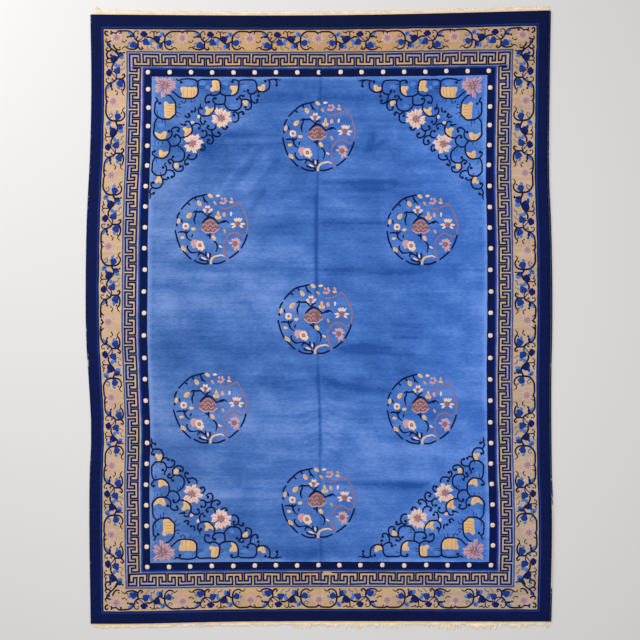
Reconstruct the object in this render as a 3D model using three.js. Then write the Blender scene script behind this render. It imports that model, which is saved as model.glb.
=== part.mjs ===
// A Peking carpet of about nine feet by twelve, lying flat on a floor.
//
// Millimetres. X runs across the carpet, Y along it, Z up from the floor.
// The carpet is woven in one piece, so its pile is one solid. Its maker then
// overcasts the two long sides and leaves the warps as a fringe at both ends,
// which makes five pieces: pile, two selvedges and two fringed end webs.

import * as THREE from "three";

// Driving dimensions
const CARPET_WIDTH = 2740;
const PILE_LENGTH = 3580;
const PILE_THICKNESS = 9;
const SHOULDER_DROP = 3.5;
const SHOULDER_INSET = 4;
const SELVEDGE_WIDTH = 8;
const SELVEDGE_HEIGHT = 7;
const SELVEDGE_SHOULDER = 3.5;
const SELVEDGE_CROWN_PLACE = 0.7;
const WEB_WIDTH = 10;
const WEB_THICKNESS = 2.6;
const PARTING = 0.3;
const STRANDS_PER_END = 120;
const STRAND_ROOT_WIDTH = 11;
const STRAND_TIP_WIDTH = 5;
const STRAND_FAN = 0.22;
const LOCK_EDGE_FULLNESS = 0.8;
const STRAND_UNEVENNESS = 0.1;
const UNEVENNESS_STEP = 2.4;

const HALF_WIDTH = CARPET_WIDTH / 2;
const HALF_LENGTH = PILE_LENGTH / 2;

// How far the sides stray to +X, from one end of the carpet to the other
const LEFT_SIDE = [
  { along: -1790, stray: 14 },
  { along: -1175, stray: 6 },
  { along: -890, stray: 9 },
  { along: -680, stray: 18 },
  { along: -325, stray: 0 },
  { along: -110, stray: -13 },
  { along: 384, stray: -14 },
  { along: 667, stray: -6 },
  { along: 950, stray: 9 },
  { along: 1376, stray: 18 },
  { along: 1790, stray: 12 },
];
const RIGHT_SIDE = [
  { along: -1790, stray: -6 },
  { along: -1180, stray: 6 },
  { along: -900, stray: -3 },
  { along: -330, stray: -6 },
  { along: -47, stray: 0 },
  { along: 520, stray: -6 },
  { along: 800, stray: -18 },
  { along: 1370, stray: -16 },
  { along: 1790, stray: -9 },
];

// How far the ends stray to +Y, from one side of the carpet to the other
const TOP_END = [
  { along: -1370, stray: 4 },
  { along: -500, stray: -2 },
  { along: 0, stray: -1 },
  { along: 350, stray: 3 },
  { along: 850, stray: 14 },
  { along: 1370, stray: 28 },
];
const BOTTOM_END = [
  { along: -1370, stray: -13 },
  { along: -1120, stray: -13 },
  { along: -710, stray: -4 },
  { along: -500, stray: 0 },
  { along: 1370, stray: 0 },
];

// Soft folds left from storage. A negative rise is a trough, a positive one
// a ridge. Each passes through the points given, across and along the carpet.
const FOLDS = [
  { through: [[8, 1790], [-14, 400], [-6, -900], [4, -1790]], halfWidth: 17, rise: -2.1 },
  { through: [[-1250, 296], [1250, 290]], halfWidth: 26, rise: -1.2 },
  { through: [[150, -190], [560, -215]], halfWidth: 24, rise: -1.1 },
  { through: [[20, -380], [420, -430]], halfWidth: 26, rise: -1.4 },
  { through: [[210, -986], [600, -990]], halfWidth: 24, rise: -1.2 },
  { through: [[-720, -1040], [-260, -1010]], halfWidth: 34, rise: 1.0 },
  { through: [[-300, 990], [-480, 760]], halfWidth: 45, rise: 1.3 },
];

// Loose warp ends in uneven locks. Each lock ends at the given place across
// the carpet and reaches so far from the pile. A lean is to +X for each mm
// of length.
const TOP_LOCKS = [
  { until: -1300, reach: 54, lean: -0.12 },
  { until: -1255, reach: 21, lean: 0 },
  { until: -1175, reach: 48, lean: 0.1 },
  { until: -1130, reach: 22, lean: 0.05 },
  { until: -640, reach: 26, lean: 0.05 },
  { until: -520, reach: 31, lean: 0 },
  { until: -110, reach: 24, lean: -0.05 },
  { until: -20, reach: 32, lean: 0 },
  { until: 110, reach: 26, lean: 0.05 },
  { until: 220, reach: 19, lean: 0 },
  { until: 800, reach: 23, lean: 0 },
  { until: 860, reach: 35, lean: -0.3 },
  { until: 1180, reach: 22, lean: 0 },
  { until: 1290, reach: 26, lean: 0.08 },
  { until: 1370, reach: 33, lean: 0.15 },
];
const BOTTOM_LOCKS = [
  { until: -1340, reach: 16, lean: -0.1 },
  { until: -1225, reach: 21, lean: 0 },
  { until: -985, reach: 26, lean: 0.1 },
  { until: -930, reach: 38, lean: 0 },
  { until: -560, reach: 22, lean: 0 },
  { until: -480, reach: 33, lean: 0.1 },
  { until: -375, reach: 20, lean: 0 },
  { until: -275, reach: 37, lean: 0.05 },
  { until: -205, reach: 22, lean: 0 },
  { until: -150, reach: 44, lean: 0.2 },
  { until: -40, reach: 60, lean: 0.25 },
  { until: 0, reach: 31, lean: 0.1 },
  { until: 125, reach: 47, lean: 0.25 },
  { until: 230, reach: 62, lean: 0.15 },
  { until: 315, reach: 50, lean: 0.1 },
  { until: 510, reach: 60, lean: 0.15 },
  { until: 590, reach: 20, lean: 0 },
  { until: 680, reach: 42, lean: 0.15 },
  { until: 825, reach: 62, lean: 0.1 },
  { until: 870, reach: 31, lean: 0 },
  { until: 1110, reach: 56, lean: -0.1 },
  { until: 1245, reach: 50, lean: -0.1 },
  { until: 1325, reach: 31, lean: 0 },
  { until: 1370, reach: 46, lean: -0.05 },
];

// The grid of the upper face is closer where the folds are
const COLUMN_STEP = 171.25;
const ROW_STEP = 149;
const FOLD_COLUMNS = [-480, -435, -390, -300, -120, -60, -32, -18, -5, 8, 22, 50, 110];
const FOLD_ROWS = [
  990, 930, 875, 820, 760, 325, 292, 260, -170, -200, -230, -370, -405, -440, -955, -988, -1020,
];
const NEAREST_STATIONS = 10;

const wool = new THREE.MeshStandardMaterial({ color: 0x5078b8, roughness: 0.95, metalness: 0 });
const overcasting = new THREE.MeshStandardMaterial({ color: 0x16244f, roughness: 0.95, metalness: 0 });
const cotton = new THREE.MeshStandardMaterial({ color: 0xd9c7a6, roughness: 0.95, metalness: 0 });

// A smooth curve through a table of strays
function strayCurve(table) {
  const places = table.map((row) => row.along);
  const strays = table.map((row) => row.stray);
  const curve = new THREE.CubicInterpolant(places, strays, 1);
  return (along) => curve.evaluate(THREE.MathUtils.clamp(along, places[0], places.at(-1)))[0];
}

const leftStray = strayCurve(LEFT_SIDE);
const rightStray = strayCurve(RIGHT_SIDE);
const topStray = strayCurve(TOP_END);
const bottomStray = strayCurve(BOTTOM_END);

// An end's stray dies out towards the middle of the carpet
function endFade(distanceFromEnd) {
  return Math.max(0, 1 - distanceFromEnd / HALF_LENGTH) ** 3;
}

// Where a point of the straight, squared carpet lies on the floor
function lay(across, along) {
  const share = THREE.MathUtils.clamp(across / CARPET_WIDTH + 0.5, 0, 1);
  const sideStray = THREE.MathUtils.lerp(leftStray(along), rightStray(along), share);
  const topPart = topStray(across) * endFade(Math.max(0, HALF_LENGTH - along));
  const bottomPart = bottomStray(across) * endFade(Math.max(0, HALF_LENGTH + along));
  return new THREE.Vector2(across + sideStray, along + topPart + bottomPart);
}

// How far a point of the carpet is from the nearest part of a fold
function distanceToFold(point, through) {
  const corners = through.map(([across, along]) => new THREE.Vector3(across, along, 0));
  const nearest = new THREE.Vector3();
  const distances = corners.slice(1).map((corner, i) => {
    new THREE.Line3(corners[i], corner).closestPointToPoint(point, true, nearest);
    return point.distanceTo(nearest);
  });
  return Math.min(...distances);
}

// Height of the pile's upper face, with its folds
function pileHeight(across, along) {
  const point = new THREE.Vector3(across, along, 0);
  let height = PILE_THICKNESS;
  for (const fold of FOLDS) {
    const reach = distanceToFold(point, fold.through) / fold.halfWidth;
    height += fold.rise * Math.exp(-reach * reach);
  }
  return height;
}

// Evenly spaced stations joined by closer ones, none nearly on another
function stations(half, step, closer) {
  const even = [];
  const steps = Math.round((2 * half) / step);
  for (let i = 0; i <= steps; i++) {
    even.push(-half + (2 * half * i) / steps);
  }
  const spaced = even.filter((place, i) => {
    const isEnd = i === 0 || i === steps;
    return isEnd || closer.every((other) => Math.abs(other - place) > NEAREST_STATIONS);
  });
  return [...spaced, ...closer].sort((a, b) => a - b);
}

function bodyFrom(points, triangles) {
  const geometry = new THREE.BufferGeometry();
  const numbers = points.flatMap((point) => [point.x, point.y, point.z]);
  geometry.setAttribute("position", new THREE.Float32BufferAttribute(numbers, 3));
  geometry.setIndex(triangles.flat());
  geometry.computeVertexNormals();
  return geometry;
}

// Two triangles between neighbouring points of a lower and an upper ring
function wallBetween(lower, upper) {
  const triangles = [];
  for (let i = 0; i < lower.length; i++) {
    const next = (i + 1) % lower.length;
    triangles.push([lower[i], lower[next], upper[next]]);
    triangles.push([lower[i], upper[next], upper[i]]);
  }
  return triangles;
}

const pileHalfWidth = HALF_WIDTH - SELVEDGE_WIDTH - PARTING;
const columns = stations(pileHalfWidth, COLUMN_STEP, FOLD_COLUMNS);
const rows = stations(HALF_LENGTH, ROW_STEP, FOLD_ROWS);

// The whole knotted carpet: one slab with rounded shoulders and soft folds
function pileGeometry() {
  const points = [];
  const triangles = [];
  const lastColumn = columns.length - 1;
  const lastRow = rows.length - 1;
  const topIndex = (i, j) => j * columns.length + i;
  for (const along of rows) {
    for (const across of columns) {
      const limitAcross = pileHalfWidth - SHOULDER_INSET;
      const limitAlong = HALF_LENGTH - SHOULDER_INSET;
      const insetAcross = THREE.MathUtils.clamp(across, -limitAcross, limitAcross);
      const insetAlong = THREE.MathUtils.clamp(along, -limitAlong, limitAlong);
      const spot = lay(insetAcross, insetAlong);
      points.push(new THREE.Vector3(spot.x, spot.y, pileHeight(across, along)));
    }
  }
  for (let j = 0; j < lastRow; j++) {
    for (let i = 0; i < lastColumn; i++) {
      const near = topIndex(i, j);
      const far = topIndex(i + 1, j + 1);
      triangles.push([near, topIndex(i + 1, j), far]);
      triangles.push([near, far, topIndex(i, j + 1)]);
    }
  }
  const rim = [];
  for (let i = 0; i < lastColumn; i++) rim.push([i, 0]);
  for (let j = 0; j < lastRow; j++) rim.push([lastColumn, j]);
  for (let i = lastColumn; i > 0; i--) rim.push([i, lastRow]);
  for (let j = lastRow; j > 0; j--) rim.push([0, j]);
  const top = rim.map(([i, j]) => topIndex(i, j));
  const outline = rim.map(([i, j]) => lay(columns[i], rows[j]));
  const ringAt = (heightAt) => {
    const first = points.length;
    outline.forEach((spot, k) => points.push(new THREE.Vector3(spot.x, spot.y, heightAt(k))));
    return outline.map((_, k) => first + k);
  };
  const shoulder = ringAt((k) => points[top[k]].z - SHOULDER_DROP);
  const floor = ringAt(() => 0);
  triangles.push(...wallBetween(shoulder, top), ...wallBetween(floor, shoulder));
  for (const [a, b, c] of THREE.ShapeUtils.triangulateShape(outline, [])) {
    triangles.push([floor[a], floor[c], floor[b]]);
  }
  return bodyFrom(points, triangles);
}

// An overcast cord along one side: flat below, rounded above
function selvedgeGeometry(side) {
  const inner = pileHalfWidth + PARTING;
  const section = [
    [inner, 0],
    [inner + SELVEDGE_WIDTH, 0],
    [inner + SELVEDGE_WIDTH, SELVEDGE_SHOULDER],
    [inner + SELVEDGE_WIDTH * SELVEDGE_CROWN_PLACE, SELVEDGE_HEIGHT],
    [inner, SELVEDGE_HEIGHT - 1],
  ];
  const points = [];
  const rings = rows.map((along) => {
    const first = points.length;
    for (const [distance, height] of section) {
      const spot = lay(side * distance, along);
      points.push(new THREE.Vector3(spot.x, spot.y, height));
    }
    const ring = section.map((_, k) => first + k);
    return side > 0 ? ring.reverse() : ring;
  });
  const triangles = [];
  for (let j = 1; j < rings.length; j++) {
    triangles.push(...wallBetween(rings[j - 1], rings[j]));
  }
  const capOf = (ring) => ring.slice(2).map((point, k) => [ring[0], ring[k + 1], point]);
  const farEnd = capOf(rings.at(-1));
  const nearEnd = capOf(rings[0]).map(([a, b, c]) => [a, c, b]);
  return bodyFrom(points, [...triangles, ...farEnd, ...nearEnd]);
}

// A flat-woven web along one end, with the loose warp ends fused to it
function fringeGeometry(end, locks) {
  const outward = (across, distance) => {
    const edge = lay(across, end * HALF_LENGTH);
    return new THREE.Vector2(edge.x, edge.y + end * distance);
  };
  const webAcross = [-HALF_WIDTH, ...columns.slice(1, -1), HALF_WIDTH];
  const inner = webAcross.map((across) => outward(across, PARTING));
  const strandTips = [];
  const pitch = (CARPET_WIDTH - STRAND_ROOT_WIDTH) / (STRANDS_PER_END - 1);
  for (let i = 0; i < STRANDS_PER_END; i++) {
    const across = -HALF_WIDTH + STRAND_ROOT_WIDTH / 2 + i * pitch;
    const k = locks.findIndex((lock) => across <= lock.until);
    const lock = locks[k];
    const lockStart = k > 0 ? locks[k - 1].until : -HALF_WIDTH;
    const place = (across - lockStart) / (lock.until - lockStart);
    const fullness = THREE.MathUtils.lerp(LOCK_EDGE_FULLNESS, 1, Math.sin(Math.PI * place));
    const unevenness = 1 - STRAND_UNEVENNESS * (1 - Math.sin(i * UNEVENNESS_STEP));
    const reach = Math.max(lock.reach * fullness * unevenness, WEB_WIDTH + STRAND_TIP_WIDTH);
    const lean = (lock.lean + STRAND_FAN * (place - 0.5)) * (reach - WEB_WIDTH);
    const root = STRAND_ROOT_WIDTH / 2;
    const tip = STRAND_TIP_WIDTH / 2;
    strandTips.push(outward(across - root, WEB_WIDTH));
    strandTips.push(outward(across + lean - tip, reach));
    strandTips.push(outward(across + lean + tip, reach));
    strandTips.push(outward(across + root, WEB_WIDTH));
  }
  const outline = new THREE.Shape([...inner, ...strandTips.reverse()]);
  return new THREE.ExtrudeGeometry(outline, { depth: WEB_THICKNESS, bevelEnabled: false });
}

function piece(name, geometry, material) {
  const mesh = new THREE.Mesh(geometry, material);
  mesh.name = name;
  return mesh;
}

const carpet = new THREE.Group();
carpet.add(piece("rug_pile", pileGeometry(), wool));
carpet.add(piece("selvedge_left", selvedgeGeometry(-1), overcasting));
carpet.add(piece("selvedge_right", selvedgeGeometry(1), overcasting));
carpet.add(piece("fringe_top", fringeGeometry(1, TOP_LOCKS), cotton));
carpet.add(piece("fringe_bottom", fringeGeometry(-1, BOTTOM_LOCKS), cotton));

// The origin is on the floor, under the middle of the whole outline
const extent = new THREE.Box3().setFromObject(carpet);
const middle = extent.getCenter(new THREE.Vector3());
carpet.position.set(-middle.x, -middle.y, -extent.min.z);

export default carpet;
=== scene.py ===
# %% [markdown]
# # A Peking rug
#
# A hand-knotted wool rug of about nine feet by twelve lies flat on a floor.
# Its solids are already settled, so this lesson gives them their looks: the
# dyed pile with its borders and flowers, the wound sides and the frayed ends.
# Everything is measured in millimetres and turned into metres at the last
# moment, when a mesh is made.

# %% Load the frame
import math

import bpy
import numpy as np
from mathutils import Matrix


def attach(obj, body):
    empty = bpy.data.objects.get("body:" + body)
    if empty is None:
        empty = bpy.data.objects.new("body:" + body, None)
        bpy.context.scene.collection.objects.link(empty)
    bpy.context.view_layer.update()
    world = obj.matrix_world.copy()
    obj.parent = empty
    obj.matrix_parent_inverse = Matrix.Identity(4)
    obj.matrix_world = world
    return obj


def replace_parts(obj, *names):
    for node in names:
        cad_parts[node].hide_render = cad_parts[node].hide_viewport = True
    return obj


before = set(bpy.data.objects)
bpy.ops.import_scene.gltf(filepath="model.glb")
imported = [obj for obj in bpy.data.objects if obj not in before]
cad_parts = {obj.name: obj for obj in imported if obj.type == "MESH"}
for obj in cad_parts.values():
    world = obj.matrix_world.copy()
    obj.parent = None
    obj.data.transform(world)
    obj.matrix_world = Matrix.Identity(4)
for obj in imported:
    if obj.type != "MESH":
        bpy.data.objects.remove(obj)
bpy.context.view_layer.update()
MM = 0.001
chance = np.random.default_rng(12)
print("nodes:", sorted(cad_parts))

# %% [markdown]
# ## The rug's measures
#
# The pile is 2.74 by 3.58 m. Rugs are never quite square, and the edges of
# the frame's own slab say how this one strays, so the straight pattern is
# laid on the floor between those edges.

# %% Measures
RUG_WIDTH = 2740
PILE_LENGTH = 3580
HALF_WIDTH = RUG_WIDTH / 2
HALF_LENGTH = PILE_LENGTH / 2
SELVEDGE = 8.3
PILE_THICKNESS = 9
print("pile, m:", RUG_WIDTH * MM, "by", PILE_LENGTH * MM)

# %% Edges of the slab
ON_FLOOR = 0.05
NEAR_SIDE = 0.97 * HALF_WIDTH
NEAR_END = 0.98 * HALF_LENGTH


def corners_of(node):
    """A node's corners: across, along and up, in mm."""
    return np.array([corner.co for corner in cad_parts[node].data.vertices]) / MM


def floor_points(node):
    """The corners of a node that touch the floor, across and along."""
    corners = corners_of(node)
    return np.unique(corners[corners[:, 2] < ON_FLOOR].round(2), axis=0)[:, :2]


def edge_line(points, run, stray):
    """An edge as two rows for np.interp: places along it and where it lies."""
    ordered = points[np.argsort(points[:, run])]
    return ordered[:, run], ordered[:, stray]


outline = floor_points("rug_pile")
left_edge = edge_line(outline[outline[:, 0] < -NEAR_SIDE], 1, 0)
right_edge = edge_line(outline[outline[:, 0] > NEAR_SIDE], 1, 0)
bottom_edge = edge_line(outline[outline[:, 1] < -NEAR_END], 0, 1)
top_edge = edge_line(outline[outline[:, 1] > NEAR_END], 0, 1)
MIDDLE_X = (left_edge[1].mean() + right_edge[1].mean()) / 2
MIDDLE_Y = bottom_edge[1][len(bottom_edge[1]) // 2:].mean() + HALF_LENGTH
print("middle of the rug, mm:", round(MIDDLE_X, 1), round(MIDDLE_Y, 1))

# %% Laying the straight rug
RIGHT_DRIFT = ([-1790, -1000, -700, 0, 700, 1600, 1790], [-21, -22, -26, -27, -22, -16, -16])
LEFT_DRIFT = ([-1790, -1000, -550, -100, 200, 1000, 1790], [5, 0, -5, 3, 8, 5, 5])
DOWN_DRIFT = ([-1790, -1720, -1430, 1430, 1715, 1790], [0, -5, -5, -9, -9, 0])
RIGHT_SHARE = ([300, 1010, 1165, 1300, 1370], [0, 1, 0.9, 0.4, 0])
LEFT_SHARE = ([-1370, -1300, -1165, -1010, -300], [0, 0.1, 0.9, 1, 0])


def end_fade(distance):
    """How much of an end's stray is left at a distance from that end."""
    return np.clip(1 - distance / HALF_LENGTH, 0, 1) ** 3


def drift(across, along):
    """How far the pattern strays inside the edges: one side wider woven."""
    dx = np.interp(across, *RIGHT_SHARE) * np.interp(along, *RIGHT_DRIFT)
    dx = dx + np.interp(across, *LEFT_SHARE) * np.interp(along, *LEFT_DRIFT)
    return dx, np.interp(along, *DOWN_DRIFT)


def lay(across, along):
    """Where a point of the straight rug lies on the floor, in mm."""
    drift_x, drift_y = drift(across, along)
    across, along = across + drift_x, along + drift_y
    top_stray = np.interp(across + MIDDLE_X, *top_edge) - MIDDLE_Y - HALF_LENGTH
    bottom_stray = np.interp(across + MIDDLE_X, *bottom_edge) - MIDDLE_Y + HALF_LENGTH
    y = along + MIDDLE_Y
    y = y + top_stray * end_fade(HALF_LENGTH - along)
    y = y + bottom_stray * end_fade(HALF_LENGTH + along)
    left = np.interp(y, *left_edge) - SELVEDGE
    right = np.interp(y, *right_edge) + SELVEDGE
    return left + (across / RUG_WIDTH + 0.5) * (right - left), y


print("head right corner, mm:", np.round(lay(HALF_WIDTH, HALF_LENGTH), 1))

# %% [markdown]
# ## The camera
#
# The rug is seen square on from above. A long lens from far away keeps the
# far corners from leaning, as in a studio picture of a flat textile.

# %% Camera
CAMERA_HEIGHT = 14.0
SENSOR = 36.0
VIEW_WIDTH = 3.779
VIEW_DROP = 0.0118
FARTHEST_SEEN = 60
bpy.ops.object.camera_add(
    location=(MIDDLE_X * MM, MIDDLE_Y * MM - VIEW_DROP, CAMERA_HEIGHT), rotation=(0, 0, 0)
)
camera = bpy.context.object
camera.name = "camera_above"
camera.data.sensor_width = SENSOR
camera.data.lens = SENSOR * CAMERA_HEIGHT / VIEW_WIDTH
camera.data.clip_end = FARTHEST_SEEN
bpy.context.scene.camera = camera
bpy.context.scene.view_settings.view_transform = "Standard"
print("lens, mm:", round(camera.data.lens, 1))

# %% [markdown]
# ## Folds
#
# The rug was stored folded, so a crease runs down its middle with slighter
# ones across it, and small ripples lean away from the crease. Each is a soft
# trough or ridge in the upper face; the back stays flat on the floor.

# %% Folds
# Each row: the points a fold runs through, its half width and its rise.
FOLDS = [
    ([(8, 1790), (-14, 400), (-6, -900), (4, -1790)], 10, -2.0),
    ([(-1250, 296), (-300, 300), (500, 286), (1250, 290)], 20, -1.0),
    ([(20, 255), (210, 235)], 14, 0.7),
    ([(150, -190), (350, -198), (560, -215)], 18, -1.1),
    ([(20, -380), (200, -412), (420, -430)], 20, -1.5),
    ([(-20, -385), (-190, -415)], 16, -0.8),
    ([(210, -986), (600, -990)], 18, -1.2),
    ([(-720, -1040), (-260, -1010)], 26, 1.0),
    ([(-300, 990), (-480, 760)], 32, 1.2),
    ([(-395, 1010), (-560, 800)], 26, 0.9),
    ([(395, 1050), (275, 990)], 20, -0.9),
    ([(-60, 770), (420, 760)], 16, -0.7),
    ([(20, 535), (480, 548)], 15, -0.6),
]
RIPPLE_COUNT = 8
RIPPLE_TOP = -470
RIPPLE_STEP = 44
RIPPLE_REACH = 150
RIPPLE_DROP = 42
RIPPLE_START = 14
RIPPLE_SHRINK = 0.06
RIPPLE_HALF_WIDTH = 11
RIPPLE_RISE = 0.9
for ripple in range(RIPPLE_COUNT):
    start = RIPPLE_TOP - ripple * RIPPLE_STEP
    reach = RIPPLE_REACH * (1 - RIPPLE_SHRINK * ripple)
    for side in (-1, 1):
        through = [(side * RIPPLE_START, start), (side * reach, start - RIPPLE_DROP)]
        FOLDS.append((through, RIPPLE_HALF_WIDTH, RIPPLE_RISE))
print("folds:", len(FOLDS))


def distance_to_line(across, along, through):
    """How far each point is from the nearest stretch of a line of points."""
    nearest = np.full(np.shape(across), np.inf)
    for (x0, y0), (x1, y1) in zip(through, through[1:]):
        run = (x1 - x0) ** 2 + (y1 - y0) ** 2
        share = np.clip(((across - x0) * (x1 - x0) + (along - y0) * (y1 - y0)) / run, 0, 1)
        gap = np.hypot(across - x0 - share * (x1 - x0), along - y0 - share * (y1 - y0))
        nearest = np.minimum(nearest, gap)
    return nearest


def pile_height(across, along):
    """Height of the pile's upper face above the floor, in mm."""
    height = np.full(np.shape(across), float(PILE_THICKNESS))
    for through, half_width, rise in FOLDS:
        reach = distance_to_line(across, along, through) / half_width
        height += rise * np.exp(-reach * reach)
    return height


print("pile at its middle crease, mm:", round(float(pile_height(0, 0)), 2))

# %% [markdown]
# ## Painted shading of folds and creases, and broad tones
#
# The pile's colour carries painted light and shade: the folds' troughs are
# painted darker and their ridges lighter, and thin creases are painted as
# streaks that catch the light or lie in shade. Broad lighter and darker parts
# are added to these. They are worked out once for each corner of the pile and
# kept with it, for its dye to read.

# %% Painted shading of folds and creases, and broad tones
# Painted shade in the folds' troughs and painted light on their ridges, put into the colour.
FOLD_PAINTED_SHADING = 0.38
FOLD_PAINTED_SHADING_RISE = 1.3
FOLD_PAINTED_SHADING_WIDTH = 0.75
# Painted light and shade along creases. Each row: the points a crease runs through, its half width and its
# change.
PAINTED_CREASE_SHADING = [
    ([(-17, 730), (-18, 420), (-15, 150)], 13, -0.55),
    ([(-8, -330), (-6, -800)], 11, -0.35),
    ([(-1000, 334), (-300, 336), (500, 324), (1000, 328)], 11, -0.25),
    ([(40, 268), (560, 262)], 12, -0.30),
    ([(120, -175), (250, -160), (420, -172)], 12, -0.50),
    ([(440, -102), (570, -108)], 15, -0.40),
    ([(20, -350), (120, -385), (420, -405)], 14, -0.50),
    ([(-20, -352), (-190, -372)], 11, -0.35),
    ([(40, -965), (180, -970), (450, -969), (640, -975)], 12, -0.80),
    ([(-450, -1003), (-230, -1009)], 11, -0.60),
    ([(-600, -1052), (-260, -1038)], 13, 0.40),
    ([(-300, 925), (-440, 750)], 20, 0.50),
    ([(-330, 760), (-400, 640)], 20, -0.45),
    ([(322, 1090), (296, 1030)], 22, -0.50),
    ([(-560, 1088), (-250, 1090)], 10, -0.40),
    ([(-560, 1058), (-250, 1056)], 11, 0.45),
    ([(30, 842), (420, 838)], 11, 0.35),
    ([(30, 808), (460, 812)], 11, -0.45),
    ([(20, 566), (400, 570)], 12, -0.50),
    ([(70, 1010), (210, 1022)], 12, -0.35),
]
# Each row: the middle of a tone across and along, how wide, how tall, its change.
TONES = [
    (-520, 1010, 380, 110, -0.36),
    (-470, 840, 160, 150, -0.35),
    (-110, 620, 130, 200, -0.35),
    (190, 800, 240, 90, -0.20),
    (-720, -150, 480, 130, -0.45),
    (-650, 150, 480, 170, 0.30),
    (480, -250, 330, 160, -0.30),
    (640, -20, 420, 160, -0.15),
    (-420, -640, 520, 150, 0.35),
    (300, -720, 330, 200, 0.15),
    (-60, -1370, 260, 90, -0.40),
    (0, 1350, 900, 110, -0.45),
    (-950, 560, 160, 700, 0.30),
    (-1000, -600, 120, 500, 0.30),
    (1010, 300, 110, 900, 0.25),
    (560, 560, 360, 90, -0.10),
    (-330, -960, 420, 80, 0.25),
    (520, -1130, 420, 150, 0.20),
    (440, 920, 260, 180, -0.35),
    (880, -60, 260, 620, 0.22),
    (-330, 200, 260, 260, 0.15),
    (620, -860, 420, 160, 0.15),
]


def worn_tone(across, along):
    """Lighter (+) and darker (-) parts of the field: broad tones, with painted shade in the folds' troughs,
    painted light on their ridges, and painted light and shade along creases.
    """
    tone = np.zeros(np.shape(across))
    for x, y, wide, tall, change in TONES:
        tone += change * np.exp(-((across - x) / wide) ** 2 - ((along - y) / tall) ** 2)
    # Painted shade in the folds' troughs and painted light on their ridges.
    for through, half_width, rise in FOLDS:
        reach = distance_to_line(across, along, through) / (half_width * FOLD_PAINTED_SHADING_WIDTH)
        change = FOLD_PAINTED_SHADING * math.copysign(min(abs(rise), FOLD_PAINTED_SHADING_RISE), rise)
        tone += change * np.exp(-reach * reach)
    # Painted light and shade along the creases.
    for through, half_width, change in PAINTED_CREASE_SHADING:
        reach = distance_to_line(across, along, through) / half_width
        tone += change * np.exp(-reach * reach)
    return tone


print("creases:", len(PAINTED_CREASE_SHADING), "tones:", len(TONES))

# %% [markdown]
# ## Shader maths as plain sums
#
# A wool finish is mostly arithmetic: so far from the edge, so much darker.
# A small class wraps a shader socket, so that such a rule can be written as
# a Python sum, and one method makes every other kind of node.

# %% Wires
class Wire:
    """A value in a material: sums with it add the nodes that work them out."""

    def __init__(self, bench, socket):
        self.bench = bench
        self.socket = socket

    def sum_node(self, operation, *values):
        return self.bench.node("ShaderNodeMath", {"operation": operation}, values)

    def __add__(self, other):
        return self.sum_node("ADD", self, other)

    def __sub__(self, other):
        return self.sum_node("SUBTRACT", self, other)

    def __rsub__(self, other):
        return self.sum_node("SUBTRACT", other, self)

    def __mul__(self, other):
        return self.sum_node("MULTIPLY", self, other)

    def __truediv__(self, other):
        return self.sum_node("DIVIDE", self, other)

    def __abs__(self):
        return self.sum_node("ABSOLUTE", self)

    def __gt__(self, other):
        return self.sum_node("GREATER_THAN", self, other)

    def least(self, other):
        return self.sum_node("MINIMUM", self, other)

    def sine(self):
        return self.sum_node("SINE", self)

    __radd__ = __add__
    __rmul__ = __mul__


# %% The bench where a finish is mixed
class Bench:
    """One material and its nodes."""

    def __init__(self, name):
        self.material = bpy.data.materials.new(name)
        self.material.use_nodes = True
        self.tree = self.material.node_tree
        self.shader = self.tree.nodes["Principled BSDF"]

    def node(self, kind, settings=None, values=(), output=0):
        made = self.tree.nodes.new(kind)
        for name, value in (settings or {}).items():
            if name == "stops":
                self.set_stops(made.color_ramp, value)
            else:
                setattr(made, name, value)
        pairs = values.items() if isinstance(values, dict) else enumerate(values)
        for name, value in pairs:
            if isinstance(value, Wire):
                self.tree.links.new(value.socket, made.inputs[name])
            else:
                made.inputs[name].default_value = value
        return Wire(self, made.outputs[output])

    def set_stops(self, ramp, stops):
        while len(ramp.elements) > 1:
            ramp.elements.remove(ramp.elements[-1])
        ramp.elements[0].position, ramp.elements[0].color = stops[0]
        for place, colour in stops[1:]:
            ramp.elements.new(place).color = colour

    def place_on_rug(self):
        """The straight rug's across and along of the point, in mm."""
        spot = self.node("ShaderNodeAttribute", {"attribute_name": "rug_place"}, output=1)
        parts = self.node("ShaderNodeSeparateXYZ", None, [spot])
        return parts, Wire(self, parts.socket.node.outputs[1])

    def noise(self, across, along, wide, tall, detail=3.0):
        """Soft chance from 0 to 1, in blots so wide and so tall, in mm."""
        spot = self.node("ShaderNodeCombineXYZ", None, [across / wide, along / tall])
        settings = {"noise_dimensions": "2D"}
        return self.node(
            "ShaderNodeTexNoise", settings, {"Vector": spot, "Scale": 1.0, "Detail": detail}
        )

    def colours(self, value, stops):
        """The colour that the stops give for each value."""
        return self.node("ShaderNodeValToRGB", {"stops": stops}, [value])

    def fade(self, value, start, end, first=0.0, last=1.0):
        """first up to start, last from end on, evenly between."""
        span = {"Value": value, 1: start, 2: end, 3: first, 4: last}
        return self.node("ShaderNodeMapRange", None, span)

    def blend(self, mask, first, second, how="MIX"):
        """first where mask is 0 and second where it is 1, for colours."""
        settings = {"data_type": "RGBA", "blend_type": how}
        return self.node("ShaderNodeMix", settings, {0: mask, 6: first, 7: second}, output=2)

    def feed(self, socket, wire):
        self.tree.links.new(wire.socket, self.shader.inputs[socket])

    def raise_grain(self, height, depth):
        """Shades the surface as if height, from 0 to 1, stood so deep, in mm."""
        values = {"Strength": 1.0, "Distance": depth * MM, "Height": height}
        self.feed("Normal", self.node("ShaderNodeBump", None, values))

    def set_gloss(self, roughness, sheen, specular):
        """What is the same all over a finish."""
        self.shader.inputs["Roughness"].default_value = roughness
        self.shader.inputs["Sheen Weight"].default_value = sheen
        self.shader.inputs["Specular IOR Level"].default_value = specular


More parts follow.
